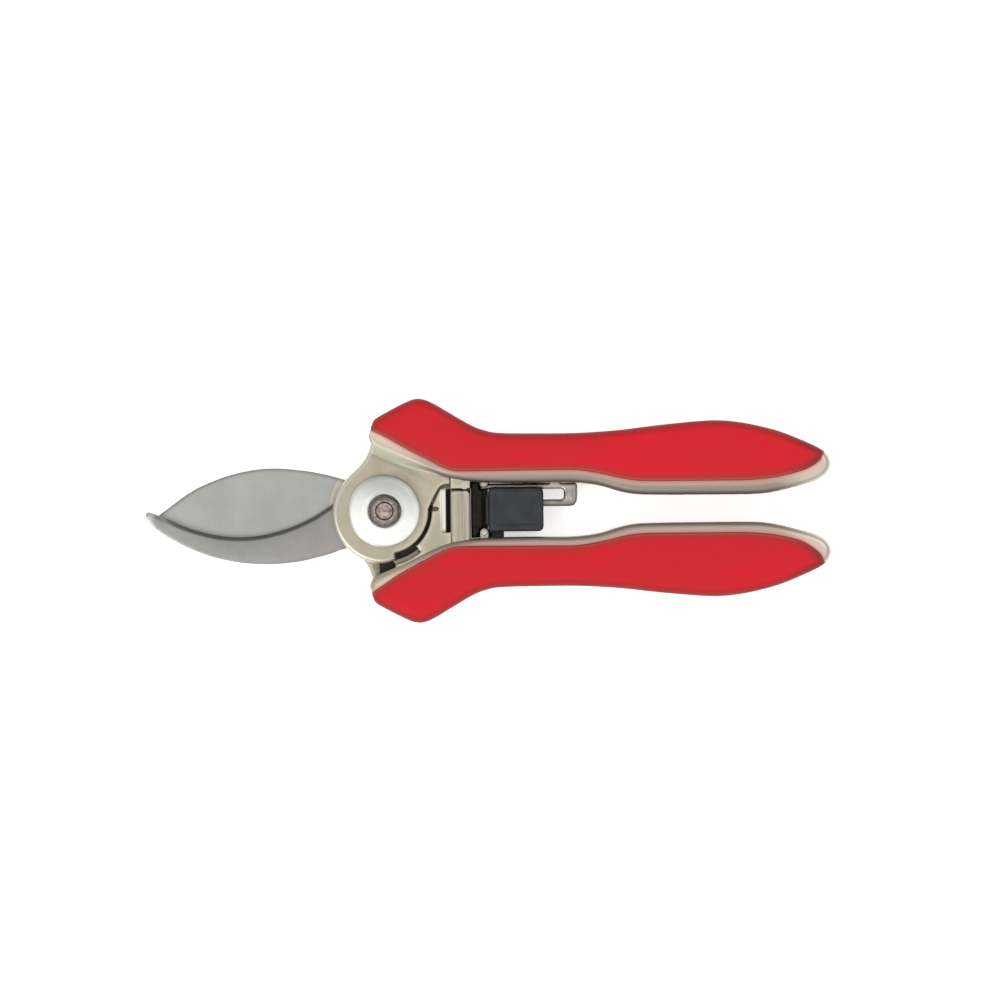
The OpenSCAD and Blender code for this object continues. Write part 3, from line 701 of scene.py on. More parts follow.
        # walls that close the slot and the bumper's bay, coloured near-black as painted shade
        yb = lambda x: 0.08 - float(np.interp(x, RI[np.argsort(RI[:, 0]), 0], RI[np.argsort(RI[:, 0]), 1]))
        bay = [(x, yb(x)) for x in (21.46, 22.7, 24.1, 25.5, 26.9)] + [(26.9, -5.44), (26.8, -5.44), (26.61, -5.423), (26.25, -5.3), (25.96, -5.055),
                                                                       (25.77, -4.72), (25.71, -4.35), (25.76, -4.1), (25.76, 8.3), (21.46, 8.3)]
        for w, zt in ((rounded([(14.9, -5.7), (16.6, -5.4), (16.6, 6), (14.9, 6)], 0.2), -3.3), (bay, -3.72)):
            parts.append(relief("w", [dense(w, 0.8)], [], lambda V, d, zt=zt: np.full(len(V), zt),
                                lambda V, d: -PO + 0.03 + fil(d, 0.25), None, rings=(0.05, 0.14, 0.3), spacing=1.0, raw=True,
                                attrs={"pit": lambda V, d: np.ones(len(V))}))
    # ears
    for z0, z1 in ((1.5, 3.0), (-3.0, -1.5)):
        parts.append(relief("e", [circle((24.75, ear_y), 1.1, 40), dense([(23.65, ear_y), (25.85, ear_y), (25.85, 8.4), (23.65, 8.4)], 0.6)],
                            [circle((24.75, ear_y), 0.74, 32)],
                            lambda V, d, z1=z1: z1 - fil(d, 0.22), lambda V, d, z0=z0: z0 + fil(d, 0.22), None,
                            rings=(0.05, 0.12, 0.22), spacing=0.6, raw=True))
    return parts


for nm, body, ear, turned, sm in (("upper_handle_frame", UP, 6.7, False, SE), ("lower_handle_frame", LO, 5.6, True, SEL)):
    W, F, at = join(frame_parts(ear, sm, not turned))
    ob = make(nm + "_cast", W, F, body, at, 38, turned)
    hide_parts(nm)
    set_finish(ob, "cast_alloy")

# ------------------------------------------------------------------ grips


def grip_h(V, d, SE):
    do, ds = ldist(V, GO), ldist(V, SE)
    u = (do / (do + ds + 1e-6) - 0.5) * 2
    return GRIP - 0.02 - 0.32 * np.abs(u) ** 2.4 - fil(do, 2.3) - fil(ds, 0.42)


for nm, body, turned, sm in (("upper_grip", UP, False, SE), ("lower_grip", LO, True, SEL)):
    ob = relief(nm + "_soft", [np.vstack([GO, sm[::-1]])], [], lambda V, d: grip_h(V, d, sm),
                lambda V, d: -grip_h(V, d, sm) - 0.02, body,
                rings=(0.04, 0.12, 0.25, 0.42, 0.65, 0.95, 1.3, 1.7, 2.3), spacing=1.1, turned=turned, ang=50,
                attrs={"outer_mm": lambda V, d: ldist(V, GO), "seam_mm": lambda V, d: ldist(V, sm)})
    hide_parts(nm)
    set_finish(ob, "soft_grip")

# ------------------------------------------------------------------ jaws
up_ = 0.42 * np.clip((-9.5 - HI[:, 0]) / 3, 0, 1) * np.clip((HI[:, 0] + 59.3) / 5, 0, 1)
HI2 = HI + np.stack([0 * up_, up_], 1)
HP = np.vstack([HO, [(0, -3), (0, 3)], HI2[::-1]])
hvis = HI2[HI2[:, 0] < -9]


def hook_top(V, d):
    di = ldist(V, hvis)
    do = ldist(V, HO)
    jaw = smooth((-10.8 - V[:, 0]) / 1.5)
    bev = np.clip(1 - di / 0.9, 0, 1) * 1.2 * smooth((-11.0 - V[:, 0]) / 1.0) * (0.25 + 0.75 * smooth((V[:, 0] + 58.5) / 4))
    crown = 0.2 * np.clip(1 - do / 3.2, 0, 1) ** 2 * jaw
    return 2.45 - np.maximum(bev, 0) - crown - fil(do, 0.3) * jaw


hook = relief("hook_blade_ground", [HP, circle((0, 0), 10.8, 120), dense(TANG, 2)],
              [circle((0, 0), 4.52, 72), slot_poly(7.2, 1.0, 92, 120)] + [circle(p, 1.45, 24) for p in ((4.2, 19.7), (8.4, 19.7))],
              hook_top, lambda V, d: np.full(len(V), 0.05), UP, rings=(0.05, 0.14, 0.3, 0.55, 0.88, 0.95, 1.6, 2.4),
              spacing=1.2, ang=20, attrs={"inner_mm": lambda V, d: ldist(V, hvis), "outer_mm": lambda V, d: ldist(V, HO)})
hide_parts("hook_blade")
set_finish(hook, "jaw_steel")

BP = np.vstack([BE, [(0, -3), (0, 3)], BB[::-1]])


def blade_top(V, d):
    vis = smooth((-10.8 - V[:, 0]) / 1.5)
    return -0.05 - fil(ldist(V, BB), 0.32) * vis


def blade_bot(V, d):
    de = ldist(V, BE)
    w = np.minimum(3.2, 0.55 * (de + ldist(V, BB)))
    jaw = smooth((-9.0 - V[:, 0]) / 1.5)
    return -2.45 + np.clip(1 - de / np.maximum(w, 0.2), 0, 1) * 2.15 * jaw + fil(ldist(V, BB), 0.32) * smooth((-10.8 - V[:, 0]) / 1.5)


blade = relief("cutting_blade_ground", [BP, circle((0, 0), 11.78, 120), dense(TANG_B * MIR, 2)],
               [circle((0, 0), 4.55, 72)] + [circle(p, 1.45, 24) for p in ((4.2, -19.7), (8.4, -19.7))],
               blade_top, blade_bot, LO, rings=(0.06, 0.16, 0.32, 0.8, 1.6, 2.4, 3.2), spacing=1.3, ang=12,
               lines=[], attrs={"back_mm": lambda V, d: ldist(V, BB), "cut_mm": lambda V, d: ldist(V, BE)})
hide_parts("cutting_blade")
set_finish(blade, "blade_steel")

# ------------------------------------------------------------------ pivot
h = 2.9
z = PO + 0.02
outer = cr([(9.0, 0.0), (9.0, h - 1.5), (8.93, h - 1.1), (8.72, h - 0.76), (8.3, h - 0.53), (7.6, h - 0.36), (6.6, h - 0.2), (5.7, h - 0.06), (5.3, h), (4.9, h - 0.01),
            (4.5, h - 0.06), (4.2, h - 0.18), (4.03, h - 0.4), (3.98, h - 0.7), (4.02, h - 1.1), (4.12, h - 1.4), (4.12, 0.75), (4.12, 0.62)], 5)
inner = A([(2.1, 0.55), (2.1, 0.0), (4.9, 0.0), (4.9, h - 0.9), (5.3, h - 0.75), (7.4, h - 0.97), (8.05, h - 1.2), (8.4, h - 1.7), (8.4, 0.0)])
prof = np.vstack([outer, inner])
W, F, at = lathe(prof + A([0, z]), 160)
cover = make("spring_cover_spun", W, F, UP, {"radius_mm": np.hypot(W[:, 0], W[:, 1])}, 40)
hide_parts("spring_cover")
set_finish(cover, "chrome_cover")

hexr = 6.7 / math.sqrt(3)
hexa = rounded([(hexr * math.cos(math.radians(30 + 60 * k)), hexr * math.sin(math.radians(30 + 60 * k))) for k in range(6)], 0.18, 3)


def nut_top(V, d):
    r = np.hypot(V[:, 0], V[:, 1])
    cham = np.maximum(0, (r - 3.22)) * 0.62
    thr = np.maximum(0, 2.35 - r) * 0.9
    return PO + 1.22 + 2.1 - cham - thr - fil(d, 0.08)


nut = relief("pivot_nut_hex", [dense(hexa, 0.35)], [circle((0, 0), 2.02, 64)], nut_top,
             lambda V, d: PO + 1.22 + np.maximum(0, (np.hypot(V[:, 0], V[:, 1]) - 3.35)) * 0.3, UP,
             rings=(0.04, 0.09, 0.2, 0.33, 0.5), spacing=0.35, ang=22)
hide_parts("pivot_nut")
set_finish(nut, "bolt_steel")

# return spring: coil with one leg on the drive pin and one bent into the plate
R, w, turns, leg = 5.7, 0.4, 1.25, 133.0
z0, zr = PO + 0.07 + w, turns * 0.85
path = []
for k in range(3):
    a = math.radians(leg - 3 + k)
    path.append(((R + 1.4 - 0.5 * k) * math.cos(a), (R + 1.4 - 0.5 * k) * math.sin(a), z0 + zr - 0.15 * (2 - k)))
for k in range(0, 91):
    a = math.radians(leg + 360 * turns * k / 90)
    path.append((R * math.cos(a), R * math.sin(a), z0 + zr * (1 - k / 90)))
for k, dz in ((1, 0.12), (2, 0.45), (3, 1.0)):
    a = math.radians(leg + 360 * turns + 2.6 * k)
    path.append((R * math.cos(a), R * math.sin(a), z0 - dz))
a = math.radians(leg + 360 * turns + 8.1)
path.append((R * math.cos(a), R * math.sin(a), z0 - 1.6))
W, F, at = tube(path, w, 16)
spring = make("return_spring_wire", W, F, UP, at, 60)
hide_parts("return_spring")
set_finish(spring, "spring_wire")

# ------------------------------------------------------------------ lock
gl = rounded([(23.7, 5.15), (44.2, 5.15), (44.7, 4.7), (44.7, 3.1), (44.2, 2.6), (37.6, 2.6), (37.6, 0.85), (46.4, 0.85), (47.3, 1.1),
              (47.9, 1.9), (48.1, 2.8), (48.1, 6.7), (44.0, 6.7), (44.0, 8.5), (41.0, 8.5), (41.0, 6.7), (26, 6.7), (25.85, 7.8), (23.7, 7.8)],
             [0.3, 0.5, 0, 0, 0.5, 0.5, 0.5, 0.8, 0, 0, 0.6, 0.8, 0.3, 0.2, 0.2, 0.3, 0.4, 0.4, 0.4])
guide = relief("lock_guide_wire", [dense(gl, 0.6)], [circle((24.75, 6.7), 0.75, 32)],
               lambda V, d: 0.95 - fil(d, 0.78), lambda V, d: -0.95 + fil(d, 0.78), UP,
               rings=(0.04, 0.13, 0.27, 0.45, 0.62, 0.78), spacing=0.7, ang=60)
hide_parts("lock_guide")
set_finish(guide, "guide_steel")

x0, x1 = 25.8, 39.6
bt = rounded([(x0, 5.6), (x0, -5.35), (x1, -5.35), (x1, 5.6)], [1.3, 1.0, 1.5, 1.5], 8)
room_u = A([(x0 - 2, 5.0), (27.6, 5.0), (27.6, 7), (x0 - 2, 7)])
room_l = A([(x0 - 2, -7), (27.5, -7), (27.5, -4.3), (x0 - 2, -4.3)])
rail_u = A([(x0 - 2, 5.03), (x1 + 2, 5.03), (x1 + 2, 7), (x0 - 2, 7)])
parts = []
# the two halves of the button above and below the rails, and the core between them
for sg in (1, -1):
    def ht(V, d):
        e = np.minimum(np.abs(V[:, 0] - x0), np.abs(V[:, 0] - x1))
        pan = 0.22 * smooth((d - 1.5) / 0.35)
        return 4.3 - fil(d, 0.75) - pan
    if sg > 0:
        parts.append(relief("p", [dense(bt, 0.6)], [], ht, lambda V, d: np.full(len(V), 3.08), None,
                            rings=(0.05, 0.16, 0.32, 0.52, 0.75, 1.1, 1.5, 1.66, 1.85), spacing=0.8, raw=True))
    else:
        parts.append(relief("p", [dense(bt, 0.6)], [], lambda V, d: np.full(len(V), -3.08), lambda V, d: -ht(V, d), None,
                            rings=(0.05, 0.16, 0.32, 0.52, 0.75, 1.1, 1.5, 1.66, 1.85), spacing=0.8, raw=True))
for za, zb in ((1.02, 3.12), (-3.12, -1.02)):
    parts.append(relief("q", [dense(bt, 0.6)], [room_u, room_l], lambda V, d, zb=zb: np.full(len(V), zb),
                        lambda V, d, za=za: np.full(len(V), za), None, rings=(0.4,), spacing=2, raw=True))
parts.append(relief("r", [dense(bt, 0.6)], [room_u, room_l, rail_u, A([(33.4, 0.75), (x1 + 2, 0.75), (x1 + 2, 2.7), (33.4, 2.7)])],
                    lambda V, d: np.full(len(V), 1.06), lambda V, d: np.full(len(V), -1.06), None, rings=(0.4,), spacing=2, raw=True))
ft = rounded([(26.5, -4.2), (26.5, -6.5), (25.95, -6.5), (25.85, -6.7), (25.85, -7.3), (26.15, -7.5), (29.2, -7.5), (29.7, -7.0), (29.7, -4.2)],
             [0, 0.15, 0.1, 0, 0.15, 0.15, 0.3, 0.3, 0])
parts.append(relief("f", [dense(ft, 0.5)], [], lambda V, d: 1.25 - fil(d, 0.25), lambda V, d: -1.25 + fil(d, 0.25), None,
                    rings=(0.05, 0.13, 0.25), spacing=0.8, raw=True))
ns = rounded([(x0 - 0.7, -3.6), (x0 + 1, -3.9), (x0 + 1, 3.9), (x0 - 0.7, 3.6)], [0.4, 0, 0, 0.4])
parts.append(relief("n", [dense(ns, 0.5)], [], lambda V, d: 3.6 - fil(d, 0.35), lambda V, d: -3.6 + fil(d, 0.35), None,
                    rings=(0.06, 0.18, 0.35), spacing=0.8, raw=True))
W, F, at = join(parts)
button = make("lock_button_moulded", W, F, SL, at, 40)
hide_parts("lock_button")
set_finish(button, "button_plastic")

bm_ = rounded([(21.85, -6.2), (22.15, -6.55), (22.7, -6.55), (23.4, -5.0), (23.4, -4.4), (24.3, -3.9),
               (24.3, 4.9), (23.45, 5.1), (23.45, 6.7), (21.85, 6.7)], [0.1, 0.1, 0.2, 0.2, 0.2, 0.4, 0.3, 0.2, 0.2, 0.2])
parts = [relief("b", [dense(bm_, 0.5)], [], lambda V, d: 4.4 - fil(d, 0.42), lambda V, d: -2.45 + fil(d, 0.3), None,
                rings=(0.05, 0.14, 0.27, 0.42), spacing=0.6, raw=True),
         relief("t", [dense(rounded([(18.4, 5.5), (22.2, 5.5), (22.2, 6.6), (21.2, 7.2), (18.4, 7.2)], 0.2), 0.5)], [circle((19.9, 6.25), 0.74, 32)],
                lambda V, d: 1.5 - fil(d, 0.3), lambda V, d: -1.5 + fil(d, 0.3), None, rings=(0.1, 0.3), spacing=0.6, raw=True)]
W, F, at = join(parts)
bumper = make("bumper_rubber", W, F, UP, at, 40)
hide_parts("bumper")
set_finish(bumper, "bumper_rubber")

# ------------------------------------------------------------------ finishes
mats = {}


def alloy():
    m = Mat("cast_alloy")
    v = m.coord()
    vb = m.coord(scale=(1, 6, 1))
    big = m.noise(v, 140, 5, 0.6)
    fine = m.noise(vb, 1500, 6, 0.6)
    blk, bar, e = m.attr("block"), m.attr("bar"), m.attr("edge_mm")
    x, y, z_ = m.xyz()
    col = m.mix(m.maprange(big, 0.3, 0.7, 0, 1), lin((188, 178, 158)), lin((172, 164, 146)))
    col = m.mix(m.maprange(fine, 0.4, 0.8, 0, 0.4), col, lin((152, 144, 127)))
    # the rim: a painted highlight on the flat beside the grip, tinted pink as a painted reflection of the grip and
    # brightest at the guard, and painted shade on the darker rounded inner band, darker still on the lower handle
    head = m.maprange(x, -0.001, 0.0145, 1, 0)
    head2 = m.maprange(x, 0.001, 0.018, 1, 0)
    tail = m.maprange(x, 0.096, 0.106, 0, 1)
    flat = m.mix(head, lin((188, 157, 147)), lin((224, 194, 180)))
    flat = m.mix(tail, flat, lin((216, 184, 172)))
    band = m.mix(m.maprange(y, -0.001, 0.001, 0, 1), lin((178, 165, 152)), lin((140, 130, 121)))
    band = m.mix(head2, band, lin((190, 187, 168)))
    band = m.mix(tail, band, lin((204, 197, 183)))
    inr = m.attr("band")
    sm = m.attr("seam_mm")
    col = m.mix(m.math("MULTIPLY", inr, 0.9), col, band)
    # painted shade on the soft slope at the head: paler at the rim, darker greenish grey towards the plate
    rp, st = m.attr("ramp"), m.attr("step_mm")
    slope_painted_shade = m.mix(m.maprange(st, -0.2, 0.6, 0, 1), lin((202, 192, 174)), lin((186, 188, 167)))
    slope_painted_shade = m.mix(m.maprange(st, 0.9, 2.0, 0, 1), slope_painted_shade, lin((156, 160, 139)))
    slope_painted_shade = m.mix(m.maprange(x, 0.004, 0.013, 0, 1), slope_painted_shade, lin((174, 163, 148)))
    col = m.mix(m.math("MULTIPLY", rp, 0.95), col, slope_painted_shade)
    col = m.mix(m.math("MULTIPLY", m.attr("rim"), 0.94), col, flat)
    # painted reflection of the red grip: a pink tint on the rim next to the seam
    col = m.mix(m.math("MULTIPLY", m.math("MULTIPLY", m.maprange(sm, 0.1, 0.9, 0.62, 0), m.attr("rim")), 1.0), col, lin((190, 124, 112)))
    # painted shade line beside the rim at the head, where its slope meets the plate
    head_foot_painted_shade = m.math("MULTIPLY", m.math("MULTIPLY", m.maprange(st, 1.5, 1.9, 0, 1), m.maprange(st, 2.3, 3.2, 1, 0)), m.maprange(x, 0.006, 0.013, 1, 0))
    col = m.mix(m.math("MULTIPLY", head_foot_painted_shade, 0.85), col, lin((152, 155, 134)))
    # painted highlight along the rounded edges, most on the jaw side of the boss
    left = m.maprange(x, -0.004, 0.004, 1, 0.3)
    edge = m.math("MULTIPLY", m.math("MULTIPLY", m.maprange(e, 0.5, 1.35, 1, 0), left), m.math("SUBTRACT", 1.0, inr))
    col = m.mix(m.math("MULTIPLY", edge, 0.75), col, lin((226, 219, 203)))
    # long brush marks on the stop block
    vbl = m.coord(scale=(1, 0.02, 1))
    bru = m.noise(vbl, 2200, 3, 0.5)
    col = m.mix(m.math("MULTIPLY", m.math("MULTIPLY", blk, m.maprange(bru, 0.35, 0.65, 0, 1)), 0.6), col, lin((136, 129, 116)))
    # the ground bevel beside the slot, painted near-white as a highlight
    col = m.mix(bar, col, lin((252, 250, 240)))
    met = m.math("SUBTRACT", 0.9, m.math("MULTIPLY", bar, 0.7))
    # painted shade: dark colour where ambient occlusion finds the gaps, weaker close to the pivot and at the jaw end
    ao = m.ao(0.0026)
    pr = m.math("SQRT", m.math("ADD", m.math("MULTIPLY", x, x), m.math("MULTIPLY", y, y)))
    keep = m.math("MULTIPLY", m.maprange(pr, 0.0088, 0.0106, 0.2, 1), m.maprange(x, 0.001, 0.018, 0.5, 1))
    col = m.mix(m.math("MULTIPLY", m.math("MULTIPLY", m.maprange(ao, 0.14, 0.56, 1, 0), 0.9), keep), col, lin((40, 36, 28)))
    # painted shade on the low shoulder and the closing walls: near-black, dark grey under the slider
    pit_shade_colour = m.mix(m.maprange(x, 0.0240, 0.0248, 0, 1), lin((34, 32, 22)), lin((50, 51, 52)))
    col = m.mix(m.math("MULTIPLY", m.attr("pit"), 0.95), col, pit_shade_colour)
    rg = m.math("ADD", m.maprange(fine, 0.3, 0.7, 0.32, 0.46), m.math("MULTIPLY", rp, 0.24))
    nb = m.bump(fine, 0.16, 0.00005)
    nb = m.bump(m.noise(v, 420, 3, 0.5), 0.22, 0.00012, nb)
    return m.done(color=col, metallic=met, rough=rg, normal=nb)


def rubber_red():
    m = Mat("soft_grip")
    v = m.coord()
    vs = m.coord(scale=(0.3, 1, 1))
    big = m.noise(vs, 75, 4, 0.6)
    fine = m.noise(v, 2600, 3, 0.5)
    o, s = m.attr("outer_mm"), m.attr("seam_mm")
    col = m.mix(m.maprange(big, 0.34, 0.66, 0, 1), lin((213, 27, 42)), lin((202, 34, 40)))
    # painted shade: the red darkens towards its rounded outer edge and towards the seam, with a paler pinkish tone
    # right at the seam
    col = m.mix(m.maprange(o, 0.0, 2.3, 0.85, 0), col, lin((140, 42, 42)))
    col = m.mix(m.maprange(s, 0.0, 2.6, 0.72, 0), col, lin((160, 52, 48)))
    col = m.mix(m.maprange(s, 0.0, 0.8, 0.6, 0), col, lin((184, 98, 86)))
    x, y, z_ = m.xyz()
    # painted shade: darker red at the tips
    tip_painted_shade = m.math("MULTIPLY", m.maprange(x, 0.099, 0.1085, 0, 1), m.maprange(m.math("MINIMUM", o, s), 0.4, 2.6, 1, 0))
    col = m.mix(m.math("MULTIPLY", tip_painted_shade, 0.6), col, lin((122, 38, 42)))
    rg = m.maprange(m.noise(v, 300, 4, 0.6), 0.3, 0.7, 0.46, 0.6)
    nb = m.bump(fine, 0.25, 0.00003)
    nb = m.bump(m.noise(v, 180, 2, 0.5), 0.05, 0.0002, nb)
    return m.done(color=col, metallic=0.0, rough=rg, normal=nb, spec=0.16)


def steel(name, base, dark, rough, brush=(1, 1, 1), root=None, hook=False):
    m = Mat(name)
    v = m.coord()
    vb = m.coord(scale=brush)
    big = m.noise(v, 90, 5, 0.6)
    fine = m.noise(vb, 1400, 6, 0.65)
    col = m.mix(m.maprange(big, 0.3, 0.7, 0, 1), lin(base), lin(dark))
    col = m.mix(m.maprange(fine, 0.35, 0.75, 0, 0.3), col, lin(dark))
    met = 0.9
    if root:
        x, y, z_ = m.xyz()
        r = m.math("SQRT", m.math("ADD", m.math("MULTIPLY", x, x), m.math("MULTIPLY", y, y)))
        k = m.maprange(r, 0.01415, 0.01435, 1, 0)
        col = m.mix(k, col, lin((196, 189, 172)))
        ln = m.math("MULTIPLY", m.maprange(r, 0.0141, 0.01422, 0, 1), m.maprange(r, 0.0143, 0.01442, 1, 0))
        col = m.mix(m.math("MULTIPLY", ln, 0.5), col, lin((120, 118, 112)))
        # painted shade along the rounded back edge; darker also along the cutting edge
        b = m.attr("back_mm")
        col = m.mix(m.maprange(b, 0.1, 1.1, 0.62, 0), col, lin((118, 119, 116)))
        col = m.mix(m.maprange(m.attr("cut_mm"), 0.0, 0.9, 0.3, 0), col, lin((120, 121, 116)))
        # painted shade on the tang where it lies between the handle plates
        col = m.mix(m.math("MULTIPLY", m.maprange(x, -0.0078, -0.0072, 0, 1), 0.95), col, lin((30, 28, 24)))
        met = 0.85
    if hook:
        i, o = m.attr("inner_mm"), m.attr("outer_mm")
        x, y, z_ = m.xyz()
        tipf = m.maprange(x, -0.0577, -0.0535, 0.0, 1)
        mot = m.noise(m.coord(scale=(0.6, 1, 1)), 160, 3, 0.5)
        warm = m.maprange(x, -0.042, -0.022, 0, 1)
        col = m.mix(m.math("MULTIPLY", m.maprange(mot, 0.42, 0.62, 0, 0.55), warm), col, lin((158, 148, 146)))
        # painted shade: darker in the hollow below the edge, lighter towards the back
        col = m.mix(m.math("MULTIPLY", m.maprange(i, 0.9, 4.0, 0.35, 0), m.maprange(x, -0.05, -0.04, 0, 1)), col, lin((128, 128, 122)))
        # painted shade on the ground bevel of the inner edge and along the outer edge
        k = m.math("MULTIPLY", m.maprange(i, 0.45, 1.45, 1, 0), tipf)
        col = m.mix(k, col, lin((112, 113, 106)))
        col = m.mix(m.math("MULTIPLY", m.maprange(o, 0.1, 0.9, 0.4, 0), tipf), col, lin((124, 124, 122)))
        # painted light: paler near the tip
        col = m.mix(m.maprange(x, -0.0592, -0.0568, 0.7, 0), col, lin((204, 204, 202)))
    rg = m.maprange(fine, 0.3, 0.7, rough[0], rough[1])
    nb = m.bump(fine, 0.14, 0.00004)
    return m.done(color=col, metallic=met, rough=rg, normal=nb)


def chrome():
    m = Mat("chrome_cover")
    v = m.coord()
    r = m.attr("radius_mm")
    fine = m.noise(v, 520, 4, 0.55)
    w = m.math("SINE", m.math("MULTIPLY", r, 60.0))
    x, y, z_ = m.xyz()
    col = m.mix(m.maprange(fine, 0.3, 0.7, 0, 1), lin((250, 249, 243)), lin((242, 242, 237)))
    # painted reflection: the dome is coloured darker on its upper side, as if mirroring a darker upper side of the
    # studio
    k = m.math("ADD", m.math("MULTIPLY", y, 1.0), m.math("MULTIPLY", x, 0.28))
    col = m.mix(m.maprange(k, -0.0030, 0.0090, 0, 0.95), col, lin((180, 184, 175)))
    # painted highlight: a bright outer rim on the lower side
    col = m.mix(m.math("MULTIPLY", m.maprange(r, 8.2, 8.9, 0, 0.8), m.maprange(k, -0.004, 0.003, 1, 0)), col, lin((252, 252, 248)))
    # painted shade: a soft grey halo round the nut, stronger on its upper right
    halo_painted_shade = m.maprange(m.math("ADD", x, y), -0.003, 0.005, 0.02, 0.6)
    col = m.mix(m.math("MULTIPLY", m.maprange(r, 3.9, 5.7, 1, 0), halo_painted_shade), col, lin((158, 158, 148)))
    # painted shade where ambient occlusion finds the tight recesses
    ao = m.ao(0.001)
    col = m.mix(m.math("MULTIPLY", m.maprange(ao, 0.05, 0.4, 1, 0), 0.45), col, lin((90, 86, 78)))
    rg = m.math("ADD", m.maprange(m.noise(v, 250, 5, 0.6), 0.3, 0.7, 0.16, 0.24), m.maprange(r, 5.2, 5.8, 0.3, 0))
    rg = m.math("ADD", rg, m.math("MULTIPLY", m.maprange(r, 7.2, 8.0, 0, 0.35), m.maprange(k, -0.002, 0.004, 0, 1)))
    nb = m.bump(w, 0.02, 0.00002)
    return m.done(color=col, metallic=0.85, rough=rg, normal=nb)


def nut_steel():
    m = Mat("bolt_steel")
    v = m.coord()
    x, y, z_ = m.xyz()
    r = m.math("SQRT", m.math("ADD", m.math("MULTIPLY", x, x), m.math("MULTIPLY", y, y)))
    mot = m.noise(v, 900, 4, 0.6)
    fine = m.noise(v, 2400, 4, 0.6)
    col = m.mix(m.maprange(mot, 0.38, 0.62, 0, 1), lin((188, 179, 168)), lin((128, 120, 110)))
    # painted shade on the flanks and chamfer of the nut; dark thread line
    col = m.mix(m.math("MULTIPLY", m.maprange(r, 0.0023, 0.0031, 0, 1), 0.85), col, lin((122, 114, 103)))
    ln = m.math("MULTIPLY", m.maprange(r, 0.0016, 0.00195, 0, 1), m.maprange(r, 0.0021, 0.0026, 1, 0))
    col = m.mix(m.math("MULTIPLY", ln, 0.5), col, lin((112, 103, 94)))
    k = m.maprange(r, 0.0050, 0.0058, 0, 1)
    col = m.mix(k, col, lin((178, 174, 166)))
    rg = m.maprange(fine, 0.3, 0.7, 0.3, 0.42)
    nb = m.bump(mot, 0.25, 0.0001, m.bump(fine, 0.12, 0.00004))
    return m.done(color=col, metallic=0.9, rough=rg, normal=nb)


def plain_metal(name, base, dark, rough, scale=900):
    m = Mat(name)
    v = m.coord()
    fine = m.noise(v, scale, 5, 0.6)
    big = m.noise(v, 220, 4, 0.6)
    col = m.mix(m.maprange(big, 0.3, 0.7, 0, 1), lin(base), lin(dark))
    rg = m.maprange(fine, 0.3, 0.7, rough[0], rough[1])
    nb = m.bump(fine, 0.12, 0.00004)
    return m.done(color=col, metallic=0.95, rough=rg, normal=nb)


def guide_metal():
    m = Mat("guide_steel")
    v = m.coord()
    x, y, z_ = m.xyz()
    fine = m.noise(v, 900, 5, 0.6)
    big = m.noise(v, 420, 4, 0.6)
    col = m.mix(m.maprange(big, 0.35, 0.65, 0, 1), lin((184, 176, 170)), lin((146, 141, 135)))
    # the lower rail and the outside of the bend are darker
    col = m.mix(m.maprange(y, 0.0026, 0.0012, 0, 0.7), col, lin((116, 114, 108)))
    col = m.mix(m.maprange(x, 0.0462, 0.0478, 0, 0.5), col, lin((130, 127, 120)))
    # painted light: the upper rail lighter, against the shade between rim and slider
    col = m.mix(m.maprange(y, 0.0052, 0.0060, 0, 0.8), col, lin((186, 177, 170)))
    rg = m.maprange(fine, 0.3, 0.7, 0.25, 0.36)
    nb = m.bump(fine, 0.12, 0.00004)
    return m.done(color=col, metallic=0.9, rough=rg, normal=nb)


def plastic():
    m = Mat("button_plastic")
    v = m.coord()
    vor = m.n("ShaderNodeTexVoronoi", ins={"Scale": 1900.0})
    m.l(v, vor.inputs["Vector"])
    big = m.noise(v, 200, 4, 0.6)
    col = m.mix(m.maprange(big, 0.3, 0.7, 0, 1), lin((46, 50, 54)), lin((36, 39, 43)))
    # painted shade: darker towards the rounded edges
    col = m.mix(m.maprange(m.attr("edge_mm"), 0.0, 0.8, 0.5, 0), col, lin((20, 22, 24)))
    rg = m.maprange(big, 0.3, 0.7, 0.48, 0.6)
    nb = m.bump(vor.outputs["Distance"], 0.3, 0.00005)
    return m.done(color=col, metallic=0.0, rough=rg, normal=nb, spec=0.35)


def rubber_black():
    m = Mat("bumper_rubber")
    v = m.coord()
    fine = m.noise(v, 1600, 4, 0.6)
    col = m.mix(m.maprange(fine, 0.3, 0.7, 0, 1), lin((26, 24, 16)), lin((14, 13, 9)))
    nb = m.bump(fine, 0.2, 0.00005)
    return m.done(color=col, metallic=0.0, rough=m.maprange(fine, 0.3, 0.7, 0.6, 0.75), normal=nb, spec=0.2)


mats["cast_alloy"] = alloy()
mats["soft_grip"] = rubber_red()
mats["jaw_steel"] = steel("jaw_steel", (158, 157, 154), (142, 142, 139), (0.36, 0.48), (1, 1, 1), hook=True)
mats["blade_steel"] = steel("blade_steel", (174, 175, 170), (163, 164, 159), (0.42, 0.52), (0.4, 1.6, 1), root=True)
mats["rivet_steel"] = plain_metal("rivet_steel", (196, 192, 180), (176, 170, 158), (0.25, 0.36))
mats["bolt_steel"] = nut_steel()
mats["bush_bronze"] = plain_metal("bush_bronze", (190, 150, 90), (160, 122, 70), (0.3, 0.45))
mats["chrome_cover"] = chrome()
mats["spring_wire"] = plain_metal("spring_wire", (150, 150, 150), (120, 120, 122), (0.25, 0.4))
mats["guide_steel"] = guide_metal()
mats["button_plastic"] = plastic()
mats["bumper_rubber"] = rubber_black()

